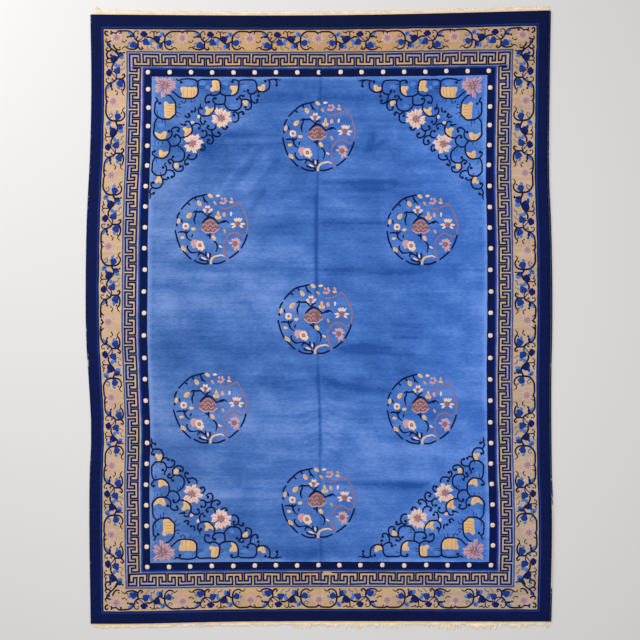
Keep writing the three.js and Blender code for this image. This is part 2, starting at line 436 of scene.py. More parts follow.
def dyed(red, green, blue):
    """A colour as seen on a screen, 0 to 255, as the light it reflects."""
    shares = [value / 255 for value in (red, green, blue)]
    light = [s / 12.92 if s <= 0.04045 else ((s + 0.055) / 1.055) ** 2.4 for s in shares]
    return (*light, 1.0)


print("a cream, as light:", [round(share, 2) for share in dyed(214, 186, 152)])

# %% [markdown]
# ## Wool
#
# The pile is tufts of dyed wool in rows of knots a little over 3 mm apart.
# Seen closely each knot is a small bump; from afar the dye lot changes from
# row to row, which weavers call abrash. The same recipe serves every colour.

# %% Wool finish
KNOT_ACROSS = 3.3
KNOT_ALONG = 3.6
KNOT_DEPTH = 0.5
PILE_ROUGHNESS = 0.86
WOOL_SHEEN = 0.1
WOOL_SPECULAR = 0.1
WOOL_MOTTLE = 0.22
PALEST = 0.9


def knots(bench, across, along):
    """The bumps of the knots, with the tufts leaning unevenly."""
    ragged = bench.noise(across, along, 9, 7, 2.0)
    over = (across * (math.tau / KNOT_ACROSS) + ragged * 5).sine()
    down = (along * (math.tau / KNOT_ALONG) + ragged * 4).sine()
    return over * down * 0.22 + ragged * 0.6 + 0.2


def wool_finish(name, colour):
    """Dyed wool of one colour, mottled from knot to knot and row to row."""
    bench = Bench(name)
    across, along = bench.place_on_rug()
    mottle = bench.noise(across, along, 16, 12, 3.0)
    rows = bench.noise(across, along, 260, 30, 2.0)
    lift = 1 + WOOL_MOTTLE * 1.5
    paler = tuple(min(share * lift + 0.004, PALEST) for share in colour[:3]) + (1.0,)
    deeper = tuple(share * (1 - WOOL_MOTTLE) for share in colour[:3]) + (1.0,)
    shade = bench.blend(mottle * 0.6 + rows * 0.5, deeper, paler)
    bench.feed("Base Color", bench.blend(0.5, shade, colour))
    bench.raise_grain(knots(bench, across, along), KNOT_DEPTH)
    bench.set_gloss(PILE_ROUGHNESS, WOOL_SHEEN, WOOL_SPECULAR)
    bench.shader.inputs["Sheen Roughness"].default_value = 0.5
    glow = tuple(share ** 0.6 for share in colour[:3]) + (1.0,)
    bench.shader.inputs["Sheen Tint"].default_value = glow
    return bench.material


# %% Dyes of the ground
NAVY = dyed(6, 19, 72)
DEEP_NAVY = dyed(2, 18, 72)
STRIPE_BLUE = dyed(18, 56, 138)
MID_BLUE = dyed(58, 92, 170)
SLATE_BLUE = dyed(62, 76, 122)
PERIWINKLE = dyed(138, 152, 196)
CREAM = dyed(214, 186, 152)
GOLD_CREAM = dyed(203, 171, 139)
KEY_CREAM = dyed(200, 172, 141)
FIELD_BLUE = dyed(61, 105, 176)
FIELD_LIGHT = dyed(100, 138, 204)
FIELD_DARK = dyed(30, 74, 144)
print("field blue, as light:", [round(share, 2) for share in FIELD_BLUE[:3]])

# %% [markdown]
# ## The pile
#
# The upper face is a grid, closer along the middle crease, laid between the
# rug's edges at the height that the folds give. Its rim is extruded over the
# rounded shoulder and down to the floor, and closed underneath. Each corner
# of the mesh keeps its place on the straight rug, which the dyes read.

# %% Mesh helpers
SMOOTH_ANGLE = math.radians(50)


def read_points(mesh):
    values = np.empty(len(mesh.vertices) * 3)
    mesh.vertices.foreach_get("co", values)
    return values.reshape(-1, 3)


def write_points(mesh, points):
    mesh.vertices.foreach_set("co", np.ascontiguousarray(points, dtype=float).ravel())
    mesh.update()


def write_place(mesh, places):
    """Keeps each corner's place on the straight rug for the dyes to read."""
    attribute = mesh.attributes.get("rug_place") or mesh.attributes.new(
        "rug_place", "FLOAT_VECTOR", "POINT"
    )
    attribute.data.foreach_set("vector", np.ascontiguousarray(places, dtype=float).ravel())


def write_tone(mesh, tones):
    attribute = mesh.attributes.new("worn_tone", "FLOAT", "POINT")
    attribute.data.foreach_set("value", np.ascontiguousarray(tones, dtype=float))


def finish_faces():
    """Turns the active piece's faces outwards and smooths its soft edges."""
    bpy.ops.object.mode_set(mode="EDIT")
    bpy.ops.mesh.select_all(action="SELECT")
    bpy.ops.mesh.normals_make_consistent(inside=False)
    bpy.ops.object.mode_set(mode="OBJECT")
    bpy.ops.object.shade_smooth_by_angle(angle=SMOOTH_ANGLE)


print("edges stay sharp above, degrees:", round(math.degrees(SMOOTH_ANGLE)))

# %% Grid of the pile
GRID_ACROSS = 200
GRID_ALONG = 256
RIM_INSET = 4
CREASE_ZONE = 85
CREASE_SHARE = 0.06
bpy.ops.object.select_all(action="DESELECT")
bpy.ops.mesh.primitive_grid_add(x_subdivisions=GRID_ACROSS, y_subdivisions=GRID_ALONG, size=1)
pile = bpy.context.object
pile.name = "pile_of_the_rug"
pile.data.name = "pile_of_the_rug"
grid = read_points(pile.data)
inner_width = HALF_WIDTH - SELVEDGE - RIM_INSET
inner_length = HALF_LENGTH - RIM_INSET
shares = [-0.5, -CREASE_SHARE, CREASE_SHARE, 0.5]
grid_across = np.interp(grid[:, 0], shares, [-inner_width, -CREASE_ZONE, CREASE_ZONE, inner_width])
places = np.stack([grid_across, grid[:, 1] * 2 * inner_length, np.zeros(len(grid))], axis=1)
write_place(pile.data, places)
print("corners on the grid:", len(grid))

# %% Rim and underside of the pile
TOP_FACE, SHOULDER, FLOOR = 0, 1, 2
SHOULDER_DROP = 3.2
ON_RIM = 0.1
bpy.ops.object.mode_set(mode="EDIT")
bpy.ops.mesh.select_mode(type="EDGE")
bpy.ops.mesh.select_all(action="DESELECT")
bpy.ops.mesh.select_non_manifold(extend=False)
corner_counts = [len(grid)]
for _ in (SHOULDER, FLOOR):
    bpy.ops.mesh.extrude_edges_move()
    pile.update_from_editmode()
    corner_counts.append(len(pile.data.vertices))
bpy.ops.mesh.edge_face_add()
bpy.ops.object.mode_set(mode="OBJECT")

ring_of = np.zeros(len(pile.data.vertices))
ring_of[corner_counts[0]:corner_counts[1]] = SHOULDER
ring_of[corner_counts[1]:] = FLOOR
places = np.empty(len(pile.data.vertices) * 3)
pile.data.attributes["rug_place"].data.foreach_get("vector", places)
places = places.reshape(-1, 3)
outward = ring_of > TOP_FACE
on_side = outward & (np.abs(np.abs(places[:, 0]) - inner_width) < ON_RIM)
on_end = outward & (np.abs(np.abs(places[:, 1]) - inner_length) < ON_RIM)
places[on_side, 0] += np.sign(places[on_side, 0]) * RIM_INSET
places[on_end, 1] += np.sign(places[on_end, 1]) * RIM_INSET
x, y = lay(places[:, 0], places[:, 1])
z = pile_height(places[:, 0], places[:, 1])
z[ring_of == SHOULDER] -= SHOULDER_DROP
z[ring_of == FLOOR] = 0
write_points(pile.data, np.stack([x, y, z], axis=1) * MM)
write_place(pile.data, places)
# Broad tones and the painted shading of folds and creases, kept with each corner.
write_tone(pile.data, worn_tone(places[:, 0], places[:, 1]))
finish_faces()
print("pile faces:", len(pile.data.polygons))

# %% [markdown]
# ## The ground colours
#
# Counted inward from the edge, the ground is a set of straight bands, so one
# ramp over the distance from the edge dyes them all. The blue field inside
# them gets its abrash: long streaks along the weft and broad bands, and it
# gets broad lighter and darker parts and the painted light and shade of its
# folds and creases.

# %% Bands
# Each row: how far from the edge a band starts, and its dye.
BANDS = [
    (0, NAVY),
    (63, STRIPE_BLUE),
    (69.5, DEEP_NAVY),
    (78, GOLD_CREAM),
    (206, SLATE_BLUE),
    (214, PERIWINKLE),
    (223, CREAM),
    (230, KEY_CREAM),
    (300, MID_BLUE),
    (306, STRIPE_BLUE),
    (312, DEEP_NAVY),
    (357, FIELD_BLUE),
]
FIELD_EDGE = 357
RAMP_REACH = 400
ground = Bench("rug_ground_wool")
across, along = ground.place_on_rug()
from_edge = (HALF_WIDTH - abs(across)).least(HALF_LENGTH - abs(along))
from_edge_woven = from_edge + (ground.noise(across, along, 70, 70, 2.0) * 5 - 2.5)
bands = ground.colours(
    from_edge_woven / RAMP_REACH, [(place / RAMP_REACH, colour) for place, colour in BANDS]
)
bands.socket.node.color_ramp.interpolation = "CONSTANT"
print("bands:", len(BANDS))

# %% Field
HALO = 30
DUSTY_LEFT = (1.12, 0.93, 0.85, 1)
CLEAR_RIGHT = (1.02, 1.03, 1.11, 1)
streaks = ground.noise(across, along, 420, 22, 4.0)
broad = ground.noise(across, along, 1500, 150, 3.0)
clouds = ground.noise(across, along, 190, 120, 4.0)
nap = ground.noise(across, along, 26, 9, 3.0)
# Broad tones with the painted shade and light of folds and creases.
tone = ground.node("ShaderNodeAttribute", {"attribute_name": "worn_tone"}, output=2)
halo = ground.fade(from_edge, FIELD_EDGE, FIELD_EDGE + HALO, 0.35, 0.0)
blue = streaks * 0.3 + broad * 0.5 + clouds * 0.68 + nap * 0.4 + tone * 0.45 + halo - 0.45
field = ground.colours(blue, [(0.12, FIELD_DARK), (0.5, FIELD_BLUE), (0.9, FIELD_LIGHT)])
field_tint = ground.blend(ground.fade(across, -900, 900), DUSTY_LEFT, CLEAR_RIGHT)
field = ground.blend(1.0, field, field_tint, "MULTIPLY")
print("field starts, mm from the edge:", FIELD_EDGE)

# %% Borders, and the finish of the whole ground
INSIDE_NAVY = 75
GREYED_BY_LIGHT = (0.88, 0.96, 1.12, 1)
GOLDEN_MIDDLE = (1.04, 0.95, 0.78, 1)
# Painted shade: the border darker towards the head end.
PAINTED_SHADE_AT_HEAD = (0.87, 0.83, 0.78, 1)
abrash = streaks * 0.35 + clouds * 0.35 + nap * 0.3
paint = ground.colours(abrash, [(0.3, dyed(150, 150, 150)), (0.7, dyed(255, 255, 255))])
border = ground.blend(0.55, bands, paint, "MULTIPLY")
towards_foot = across * 0.8 - along * 0.6
for mask, tint in [
    (ground.fade(towards_foot, 0, 1900) * (from_edge > INSIDE_NAVY), GREYED_BY_LIGHT),
    (ground.fade(abs(across), 1050, 500), GOLDEN_MIDDLE),
    # painted shade, darker towards the head end
    (ground.fade(along, 1400, 1600), PAINTED_SHADE_AT_HEAD),
]:
    border = ground.blend(mask, border, ground.blend(1.0, border, tint, "MULTIPLY"))
ground.feed("Base Color", ground.blend(from_edge_woven > FIELD_EDGE, border, field))
ground.raise_grain(knots(ground, across, along) + nap * 0.8, KNOT_DEPTH)
ground.set_gloss(PILE_ROUGHNESS, WOOL_SHEEN, WOOL_SPECULAR)
ground.shader.inputs["Sheen Tint"].default_value = (0.3, 0.45, 0.8, 1)
pile.data.materials.append(ground.material)
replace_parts(pile, "rug_pile")
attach(pile, "root")
print("nodes in the ground's finish:", len(ground.tree.nodes))

# %% [markdown]
# ## Making cloth parts from points
#
# The rest of the rug is many small shapes: yarn wraps, cotton ends and the
# drawing in the pile. Each is worked out as points in millimetres with the
# triangles between them, and one helper turns a heap of them into a piece.


def tube_triangles(rings, corners, closed=False):
    """Triangles that join rings of corners into a tube with shut ends."""
    count = rings if closed else rings - 1
    here = np.arange(count * corners).reshape(count, corners)
    right = np.roll(here, -1, axis=1)
    total = rings * corners
    walls = [here, right, (right + corners) % total, here, (right + corners) % total,
             (here + corners) % total]
    walls = np.stack(walls, axis=-1).reshape(-1, 3)
    if closed:
        return walls
    fan = np.array([(0, k + 1, k) for k in range(1, corners - 1)])
    return np.vstack([walls, fan, fan[:, ::-1] + (rings - 1) * corners])


def heap(shapes):
    """Many (points, triangles) as one."""
    points = np.vstack([shape[0] for shape in shapes])
    starts = np.cumsum([0] + [len(shape[0]) for shape in shapes[:-1]])
    triangles = np.vstack([shape[1] + start for shape, start in zip(shapes, starts)])
    return points, triangles


def make_piece(name, points, triangles, places, finish):
    """A mesh piece that lies on the rug, with its finish."""
    mesh = bpy.data.meshes.new(name)
    mesh.from_pydata(points * MM, [], triangles)
    piece = bpy.data.objects.new(name, mesh)
    bpy.context.collection.objects.link(piece)
    write_place(mesh, places)
    bpy.ops.object.select_all(action="DESELECT")
    piece.select_set(True)
    bpy.context.view_layer.objects.active = piece
    finish_faces()
    mesh.materials.append(finish)
    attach(piece, "root")
    print(name, len(triangles), "triangles")
    return piece


print("triangles of a square tube of two rings:", len(tube_triangles(2, 4)))

# %% [markdown]
# ## The wound sides
#
# Each long side is a bundle of outer warps overcast with dark wool. The
# wraps show as fine ribs. Low on the right the wool has worn through and the
# whitish cotton shows, and the left side has a few pale specks.

# %% Selvedges
WRAP_STEP = 4.2
WRAP_BULGE = 0.28
SIDE_CORNERS = 8
SIDE_HALF_WIDTH = 3.9
SIDE_HALF_HEIGHT = 3.4
SIDE_GAP = 4.3
WRAP_SLANT = 0.9
YARN_PITCH = 1.1
YARN_DEPTH = 0.35
GREY_WOOL = dyed(110, 108, 124)
PALE_COTTON = dyed(205, 192, 176)


def wound_side(edge, outward):
    """Points, triangles and places of the yarn wound along one side."""
    reach = np.arange(edge[0].min(), edge[0].max(), WRAP_STEP / 2)
    bulge = np.where(np.arange(len(reach)) % 2, -WRAP_BULGE, WRAP_BULGE)
    turn = np.arange(SIDE_CORNERS) * math.tau / SIDE_CORNERS
    middle = np.interp(reach, *edge) + outward * SIDE_GAP
    wide = (SIDE_HALF_WIDTH + bulge)[:, None] * np.cos(turn)
    tall = (SIDE_HALF_HEIGHT + bulge)[:, None] * np.sin(turn)
    slant = np.cos(turn) * WRAP_SLANT
    x = middle[:, None] + wide
    y = np.clip(reach[:, None] + slant, reach[0], reach[-1])
    points = np.stack([x, y, tall + SIDE_HALF_HEIGHT + WRAP_BULGE], axis=-1).reshape(-1, 3)
    return points, tube_triangles(len(reach), SIDE_CORNERS)


def overcast_finish(name, worn_places):
    """Dark wool yarn, worn to pale cotton where worn_places say."""
    bench = Bench(name)
    across, along = bench.place_on_rug()
    specks = bench.noise(across, along, 14, 26, 4.0)
    drift = bench.noise(across, along, 500, 240, 2.0)
    wear = specks * 0.9 + drift * 0.35
    for middle, half, strength in worn_places:
        near = 1 - abs(along - middle) / half
        wear = wear + bench.node("ShaderNodeClamp", None, [near * 2.5, 0, 1]) * strength
    stops = [(0.0, NAVY), (0.76, DEEP_NAVY), (0.86, GREY_WOOL), (0.97, PALE_COTTON)]
    bench.feed("Base Color", bench.colours(wear, stops))
    yarn = (along * (math.tau / YARN_PITCH) + across * 2.0).sine()
    bench.raise_grain(yarn * 0.3 + specks * 0.7, YARN_DEPTH)
    bench.set_gloss(roughness=0.8, sheen=0.03, specular=0.08)
    return bench.material


# Each row: piece, node, edge, way out, and the worn places as middle, half, strength.
for name, node, edge, outward, worn in [
    ("overcast_side_left", "selvedge_left", left_edge, -1, [(-300, 60, 0.12), (900, 90, 0.12)]),
    ("overcast_side_right", "selvedge_right", right_edge, 1, [(-1330, 320, 0.55), (-1500, 90, 0.2)]),
]:
    points, triangles = wound_side(edge, outward)
    finish = overcast_finish(name + "_wool", worn)
    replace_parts(make_piece(name, points, triangles, points, finish), node)

# %% [markdown]
# ## The cotton ends
#
# The warps are the rug's skeleton. At each end they leave the pile, pass a
# finger's width of plain weave that locks the knots, and hang loose. Years
# of beating have left them ragged: long tufts, short stubs and stray threads.

# %% Web
WEB_WIDTH = 13
WEB_HEIGHT = 2.4
WEB_STEP = 12


def web_band(edge, outward):
    """The flat-woven band along one end, rounded at its outer rim."""
    reach = np.arange(edge[0].min() + 1, edge[0].max(), WEB_STEP)
    start = np.interp(reach, *edge)
    section = [(0.3, 0), (WEB_WIDTH, 0), (WEB_WIDTH, 1.2), (WEB_WIDTH - 1, WEB_HEIGHT), (0.3, WEB_HEIGHT)]
    rings = [[(x, y + outward * out, up) for out, up in section] for x, y in zip(reach, start)]
    return np.array(rings).reshape(-1, 3), tube_triangles(len(reach), len(section))


print("web, mm wide:", WEB_WIDTH)

# %% Loose ends
STRAND_STEP = 0.85
STRAND_HALF = 1.5
STRAND_RINGS = 6
CLUMP_WIDTH = 9.0
CLUMP_LEAN = 0.26
CLUMP_REACH = (0.3, 1.0)
CLUMP_LEAST = (2, 15)
LONG_TUFT = 30
LONG_TUFT_REACH = 0.85
TIP_STEP = 11.5


def tips_of(node, outward):
    """How far out the frame's own strands reach, as rows for np.interp."""
    corners = corners_of(node)
    bins = np.round(corners[:, 0] / TIP_STEP)
    marks = np.unique(bins)
    far = [(corners[bins == mark, 1] * outward).max() * outward for mark in marks]
    return marks * TIP_STEP, np.array(far)


def fringe_strands(edge, tips, outward):
    """Loose cotton ends, each a soft crooked strand that lies on the floor."""
    shapes = []
    triangles = tube_triangles(STRAND_RINGS, 4)
    turn = np.arange(4) * math.tau / 4
    share = np.linspace(0, 1, STRAND_RINGS)
    clumps = {}
    for root in np.arange(edge[0].min() + 2, edge[0].max() - 2, STRAND_STEP):
        clump = int(root // CLUMP_WIDTH)
        if clump not in clumps:
            clumps[clump] = (chance.normal(0, CLUMP_LEAN), chance.uniform(*CLUMP_REACH),
                             chance.uniform(*CLUMP_LEAST))
        clump_lean, clump_reach, clump_least = clumps[clump]
        to_clump = (clump + 0.5) * CLUMP_WIDTH - root
        root = root + chance.uniform(-0.8, 0.8)
        base = np.interp(root, *edge) + outward * (WEB_WIDTH - 2)
        full = abs(np.interp(root, *tips) - base)
        kept = max(clump_reach, LONG_TUFT_REACH) if full > LONG_TUFT else clump_reach
        reach = max(full * kept * (1 - 0.4 * chance.random() ** 2), clump_least + chance.uniform(0, 5))
        lean = (clump_lean + chance.normal(0, 0.08)) * reach + 0.55 * to_clump
        crook = chance.normal(0, 1.3)
        x = root + lean * share ** 1.5 + crook * np.sin(share * 5)
        y = base + outward * reach * share
        lift = STRAND_HALF + chance.uniform(0.1, 1.7) * np.sin(share * 2.6 + 0.3)
        thick = STRAND_HALF * np.interp(share, (0, 0.6, 1), (1, 0.9, 0.35))
        ring_x = x[:, None] + thick[:, None] * np.cos(turn) * 1.1
        ring_z = lift[:, None] + thick[:, None] * np.sin(turn)
        ring_y = np.repeat(y[:, None], 4, axis=1)
        points = np.stack([ring_x, ring_y, np.maximum(ring_z, 0.02)], axis=-1).reshape(-1, 3)
        shapes.append((points, triangles))
    return heap(shapes)


def cotton_finish(name, pale, dusty):
    """Undyed cotton, pinkish and greyed by dirt."""
    bench = Bench(name)
    across, along = bench.place_on_rug()
    dirt = bench.noise(across, along, 60, 18, 4.0)
    threads = (across * (math.tau / 2.0)).sine()
    weave = threads * (along * (math.tau / 1.7)).sine()
    bench.feed("Base Color", bench.blend(dirt * 1.2 - 0.1, dusty, pale))
    bench.raise_grain(weave * 0.25 + dirt * 0.5, 0.4)
    bench.set_gloss(roughness=0.9, sheen=0.1, specular=0.2)
    return bench.material


cotton = cotton_finish("undyed_cotton", dyed(238, 214, 180), dyed(206, 178, 146))
frayed = cotton_finish("frayed_cotton", dyed(252, 240, 220), dyed(216, 194, 166))
for end, edge, outward in [("top", top_edge, 1), ("bottom", bottom_edge, -1)]:
    node = "fringe_" + end
    points, triangles = web_band(edge, outward)
    web = make_piece("web_" + end, points, triangles, points, cotton)
    points, triangles = fringe_strands(edge, tips_of(node, outward), outward)
    strands = make_piece("loose_ends_" + end, points, triangles, points, frayed)
    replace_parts(web, node)
    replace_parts(strands, node)

# %% [markdown]
# ## Drawing in wool
#
# Every coloured knot was tied in as the rug was woven, so the drawing is
# part of the pile. Here each coloured shape is a thin cushion of wool that
# stands a fraction of a millimetre proud, as if clipped along its outline.
# Stems are ribbons with a raised middle, and leaves and petals are one round
# cushion, modelled once and stretched over each outline.

# %% Lines
LINE_RISE = 0.75
SUNK = -0.4
LAYER_RISE = 0.22
SHARPEST_MITRE = 0.6


def one_long(rows):
    """Each row as a direction of length one."""
    return rows / np.maximum(np.hypot(rows[:, 0], rows[:, 1]), 1e-9)[:, None]


def smooth_line(points, closed=False, step=7.0):
    """A soft curve through a few charted points."""
    points = np.asarray(points, dtype=float)
    if closed:
        points = np.vstack([points[-1:], points, points[:2]])
    chords = np.diff(points, axis=0)
    lengths = np.hypot(chords[:, 0], chords[:, 1])
    heading = np.empty_like(points)
    heading[1:-1] = one_long(points[2:] - points[:-2])
    heading[0] = one_long(1.5 * chords[:1] / lengths[0] - 0.5 * heading[1:2])[0]
    heading[-1] = one_long(1.5 * chords[-1:] / lengths[-1] - 0.5 * heading[-2:-1])[0]
    stretches = range(1, len(points) - 2) if closed else range(len(points) - 1)
    bends = []
    for i in stretches:
        count = max(2, round(lengths[i] / step))
        t = (np.arange(count) / count)[:, None]
        start_pull = heading[i] * lengths[i]
        end_pull = heading[i + 1] * lengths[i]
        bends.append(
            (2 * t ** 3 - 3 * t ** 2 + 1) * points[i]
            + (t ** 3 - 2 * t ** 2 + t) * start_pull
            + (3 * t ** 2 - 2 * t ** 3) * points[i + 1]
            + (t ** 3 - t ** 2) * end_pull
        )
    if not closed:
        bends.append(points[-1:])
    return np.vstack(bends)


# Each pair: a share of the half width, and the drop from the crown; None is sunk.
RIBBON_SECTION = ((1.0, None), (0.86, -0.2), (0.0, 0.0), (-0.86, -0.2), (-1.0, None))


def ribbon(line, width, taper=(1, 1, 1), layer=0, closed=False):
    """A raised line with mitred corners: a foot, a crowned top, a foot."""
    ahead = one_long(np.roll(line, -1, axis=0) - line)
    if not closed:
        ahead[-1] = ahead[-2]
    behind = np.roll(ahead, 1, axis=0)
    if not closed:
        behind[0] = ahead[0]
    side = one_long(ahead + behind)[:, ::-1] * (-1, 1)
    square = ahead[:, ::-1] * (-1, 1)
    stretch = 1 / np.clip((side * square).sum(axis=1), SHARPEST_MITRE, 1)
    half = width / 2 * np.interp(np.linspace(0, 1, len(line)), (0, 0.5, 1), taper) * stretch
    foot = side * half[:, None]
    rise = LINE_RISE + layer * LAYER_RISE
    rings = np.empty((len(line), len(RIBBON_SECTION), 3))
    for corner, (share, drop) in enumerate(RIBBON_SECTION):
        rings[:, corner, :2] = line + foot * share
        rings[:, corner, 2] = SUNK if drop is None else rise + drop
    return rings.reshape(-1, 3), tube_triangles(len(line), len(RIBBON_SECTION), closed)


print("points on a line of 70 mm:", len(smooth_line([(0, 0), (70, 0)])))

# %% The cushion for leaves and petals
CUSHION_TOP = 0.93
CUSHION_RISE = 0.55
CUSHION_CROWN = 0.2


def model_cushion(corners):
    """A round cushion: share of the rim's reach, rim corner, rise; triangles."""
    bpy.ops.object.select_all(action="DESELECT")
    bpy.ops.mesh.primitive_circle_add(vertices=corners, radius=1, fill_type="TRIFAN")
    bpy.ops.object.mode_set(mode="EDIT")
    bpy.ops.mesh.select_all(action="SELECT")
    bpy.ops.mesh.extrude_region_move(TRANSFORM_OT_translate={"value": (0, 0, CUSHION_RISE - SUNK)})
    bpy.ops.transform.resize(value=(CUSHION_TOP, CUSHION_TOP, 1), center_override=(0, 0, 0))
    bpy.ops.mesh.select_all(action="SELECT")
    bpy.ops.mesh.quads_convert_to_tris()
    bpy.ops.object.mode_set(mode="OBJECT")
    model = bpy.context.object
    points = read_points(model.data)
    share = np.hypot(points[:, 0], points[:, 1])
    corner = np.round(np.arctan2(points[:, 1], points[:, 0]) / math.tau * corners).astype(int) % corners
    rise = points[:, 2] + SUNK
    rise[(share < 0.01) & (rise > 0)] += CUSHION_CROWN
    triangles = np.array([list(face.vertices) for face in model.data.polygons])
    bpy.data.objects.remove(model, do_unlink=True)
    return share, corner, rise, triangles


small_cushion = model_cushion(14)
large_cushion = model_cushion(36)
print("cushion triangles:", len(small_cushion[3]), len(large_cushion[3]))


def patch(outline, layer=0, fine=False, soft=True):
    """A cushion of wool stretched over a drawn outline."""
    share, corner, rise, triangles = large_cushion if fine else small_cushion
    corners = corner.max() + 1
    line = smooth_line(outline, closed=True) if soft else np.asarray(outline, dtype=float)
    around = np.vstack([line, line[:1]])
    reach = np.cumsum([0, *np.hypot(*np.diff(around, axis=0).T)])
    stops = np.linspace(0, reach[-1], corners, endpoint=False)
    rim = np.stack([np.interp(stops, reach, around[:, axis]) for axis in (0, 1)], axis=1)
    middle = rim.mean(axis=0)
    flat = middle + share[:, None] * (rim[corner] - middle)
    lifted = np.where(rise > 0, rise + layer * LAYER_RISE, rise)
    return np.column_stack([flat, lifted]), triangles


# %% A chart of a motif
SPOT_CORNERS = 8


class Chart:
    """One motif on flat paper, in mm, each shape in its own dye."""

    def __init__(self):
        self.shapes = []

    def line(self, dye, points, width, taper=(1, 1, 1), layer=0):
        self.shapes.append((dye, *ribbon(smooth_line(points), width, taper, layer)))

    def ruled(self, dye, points, width, layer=0, closed=False):
        line = np.asarray(points, dtype=float)
        self.shapes.append((dye, *ribbon(line, width, (1, 1, 1), layer, closed)))

    def patch(self, dye, outline, layer=0, fine=False, soft=True):
        self.shapes.append((dye, *patch(outline, layer, fine, soft)))

    def spot(self, dye, middle, radius, layer=0, squash=1.0):
        turns = np.arange(SPOT_CORNERS) * math.tau / SPOT_CORNERS
        x = middle[0] + radius * np.cos(turns)
        y = middle[1] + radius * squash * np.sin(turns)
        self.patch(dye, np.column_stack([x, y]), layer)

    def curl(self, dye, points, width, knob=None, size=5.0, taper=(1, 1, 0.8)):
        """A stem that may end in a knob."""
        self.line(dye, points, width, taper)
        if knob:
            self.spot(dye, knob, size)

    def leaf(self, dye, base, tip, width, layer=0, bow=0.0, blunt=0.24):
        """A leaf or petal from base to tip; bow bends it left, blunt 0 points it."""
        base, tip = np.asarray(base, dtype=float), np.asarray(tip, dtype=float)
        run = tip - base
        side = np.array([-run[1], run[0]]) / max(np.hypot(*run), 1e-9)
        shares = [(0, 0), (0.22, 0.36), (0.5, 0.5), (0.8, blunt), (1, 0),
                  (0.8, -blunt), (0.5, -0.5), (0.22, -0.36)]
        outline = [base + run * a + side * (b * width + bow * 4 * a * (1 - a)) for a, b in shares]
        self.patch(dye, outline, layer, soft=blunt > 0.2)

    def heart(self, dye, middle, size, turn):
        """A two-lobed leaf; turn 0 points it down the paper."""
        shape = np.array([(0, -56), (17, -32), (40, -26), (50, 2), (40, 36), (18, 48), (3, 22), (-16, 50),
                          (-42, 38), (-48, 8), (-30, -14), (-22, -36)]) * size / 100
        c, s = math.cos(math.radians(turn)), math.sin(math.radians(turn))
        self.patch(dye, shape @ np.array([(c, s), (-s, c)]) + middle)

    def blossom(self, dye, middle, petals, inner, outer, width, start=0.0, squash=1.0, layer=0):
        """Petals round a middle."""
        for petal in range(petals):
            turn = math.radians(start) + petal * math.tau / petals
            way = np.array([math.cos(turn), math.sin(turn) * squash])
            self.leaf(dye, middle + way * inner, middle + way * outer, width, layer)


def each(draw, rows):
    """Draws one shape for each row of values."""
    for row in rows:
        draw(*row)


print("a chart can draw:", ", ".join(name for name in vars(Chart) if not name.startswith("_")))

# %% Copying a chart to the rug
MIRRORS = [np.array(pair) for pair in ((1, 1), (-1, 1), (1, -1), (-1, -1))]
knotted = {}


def knot(chart, origin, along=(1.0, 0.0), out=(0.0, 1.0), reach=None):
    """Copies a chart to the rug: x of the paper runs along, y runs out.

    reach, where given, tells how far along the x of the paper come to lie.
    """
    along, out = np.asarray(along, dtype=float), np.asarray(out, dtype=float)
    for dye, points, triangles in chart.shapes:
        run = points[:, :1] if reach is None else np.interp(points[:, :1], *reach)
        flat = np.asarray(origin) + run * along + points[:, 1:2] * out
        knotted.setdefault(dye, []).append((np.column_stack([flat, points[:, 2]]), triangles))


def knot_mirrored(chart, origin):
    """The same chart in all four quarters of the rug."""
    for mirror in MIRRORS:
        knot(chart, np.array(origin) * mirror, (mirror[0], 0), (0, mirror[1]))


print("quarters of the rug:", len(MIRRORS))

# %% [markdown]
# ## The key pattern
#
# A running key, or meander, is one dark line that never breaks: it steps in,
# hooks back on itself and goes on. One unit is charted and four arms repeat
# it between the corners, each with the start and the rest that its side has.
# A paler blue line follows on its inside.

# %% Key unit and arms
KEY_FROM_EDGE = 225
KEY_LINE = 10.2
KEY_SHADOW = 3.4
KEY_SHADOW_ASIDE = 6.4
KEY_UNIT = [(90, 0), (90, 42), (72, 42), (72, 19), (52, 19), (52, 59.5),
            (146, 59.5), (146, 19), (126, 19), (126, 42), (106.5, 42), (106.5, 0)]
KEY_PITCH = 106.5
KEY_WIDE = RUG_WIDTH - 2 * KEY_FROM_EDGE
KEY_LONG = PILE_LENGTH - 2 * KEY_FROM_EDGE
CLEAR_OF_CORNER = 80
NEXT_TO_CORNER = 60
# Each arm: length, where the first unit starts, rest after the last, units, depth.
TOP_ARM = (KEY_WIDE, -32.6, 68, 20, 1.12)
BOTTOM_ARM = (KEY_WIDE, -32.6, 50, 20, 1.12)
TOP_BEAT = ([-910, -780, -550, 150, 290, 420, 510], [0, -8, -16, -20, -16, -7, 0])
RIGHT_ARM = (KEY_LONG, 14, 118, 28, 1.05)
LEFT_ARM = (KEY_LONG, 29, 103, 28, 1.05)


def key_arm(length, start, rest, units, deep):
    """One arm of the key from corner to corner: reach along, depth inward."""
    pitch = (length - rest - start) / units
    arm = [(0.0, 0.0)]
    for unit in range(units):
        arm += [(start + unit * pitch + x * pitch / KEY_PITCH, depth) for x, depth in KEY_UNIT]
    if start > 0:
        near, far = CLEAR_OF_CORNER, length - CLEAR_OF_CORNER
        arm = [(near if NEXT_TO_CORNER < x < near else x, depth) for x, depth in arm]
        arm = [(far if far < x < length - NEXT_TO_CORNER else x, depth) for x, depth in arm]
    return np.array(arm) * (1, deep)


arms = [key_arm(*arm) for arm in (TOP_ARM, BOTTOM_ARM, RIGHT_ARM, LEFT_ARM)]
print("corners in each arm:", [len(arm) for arm in arms])


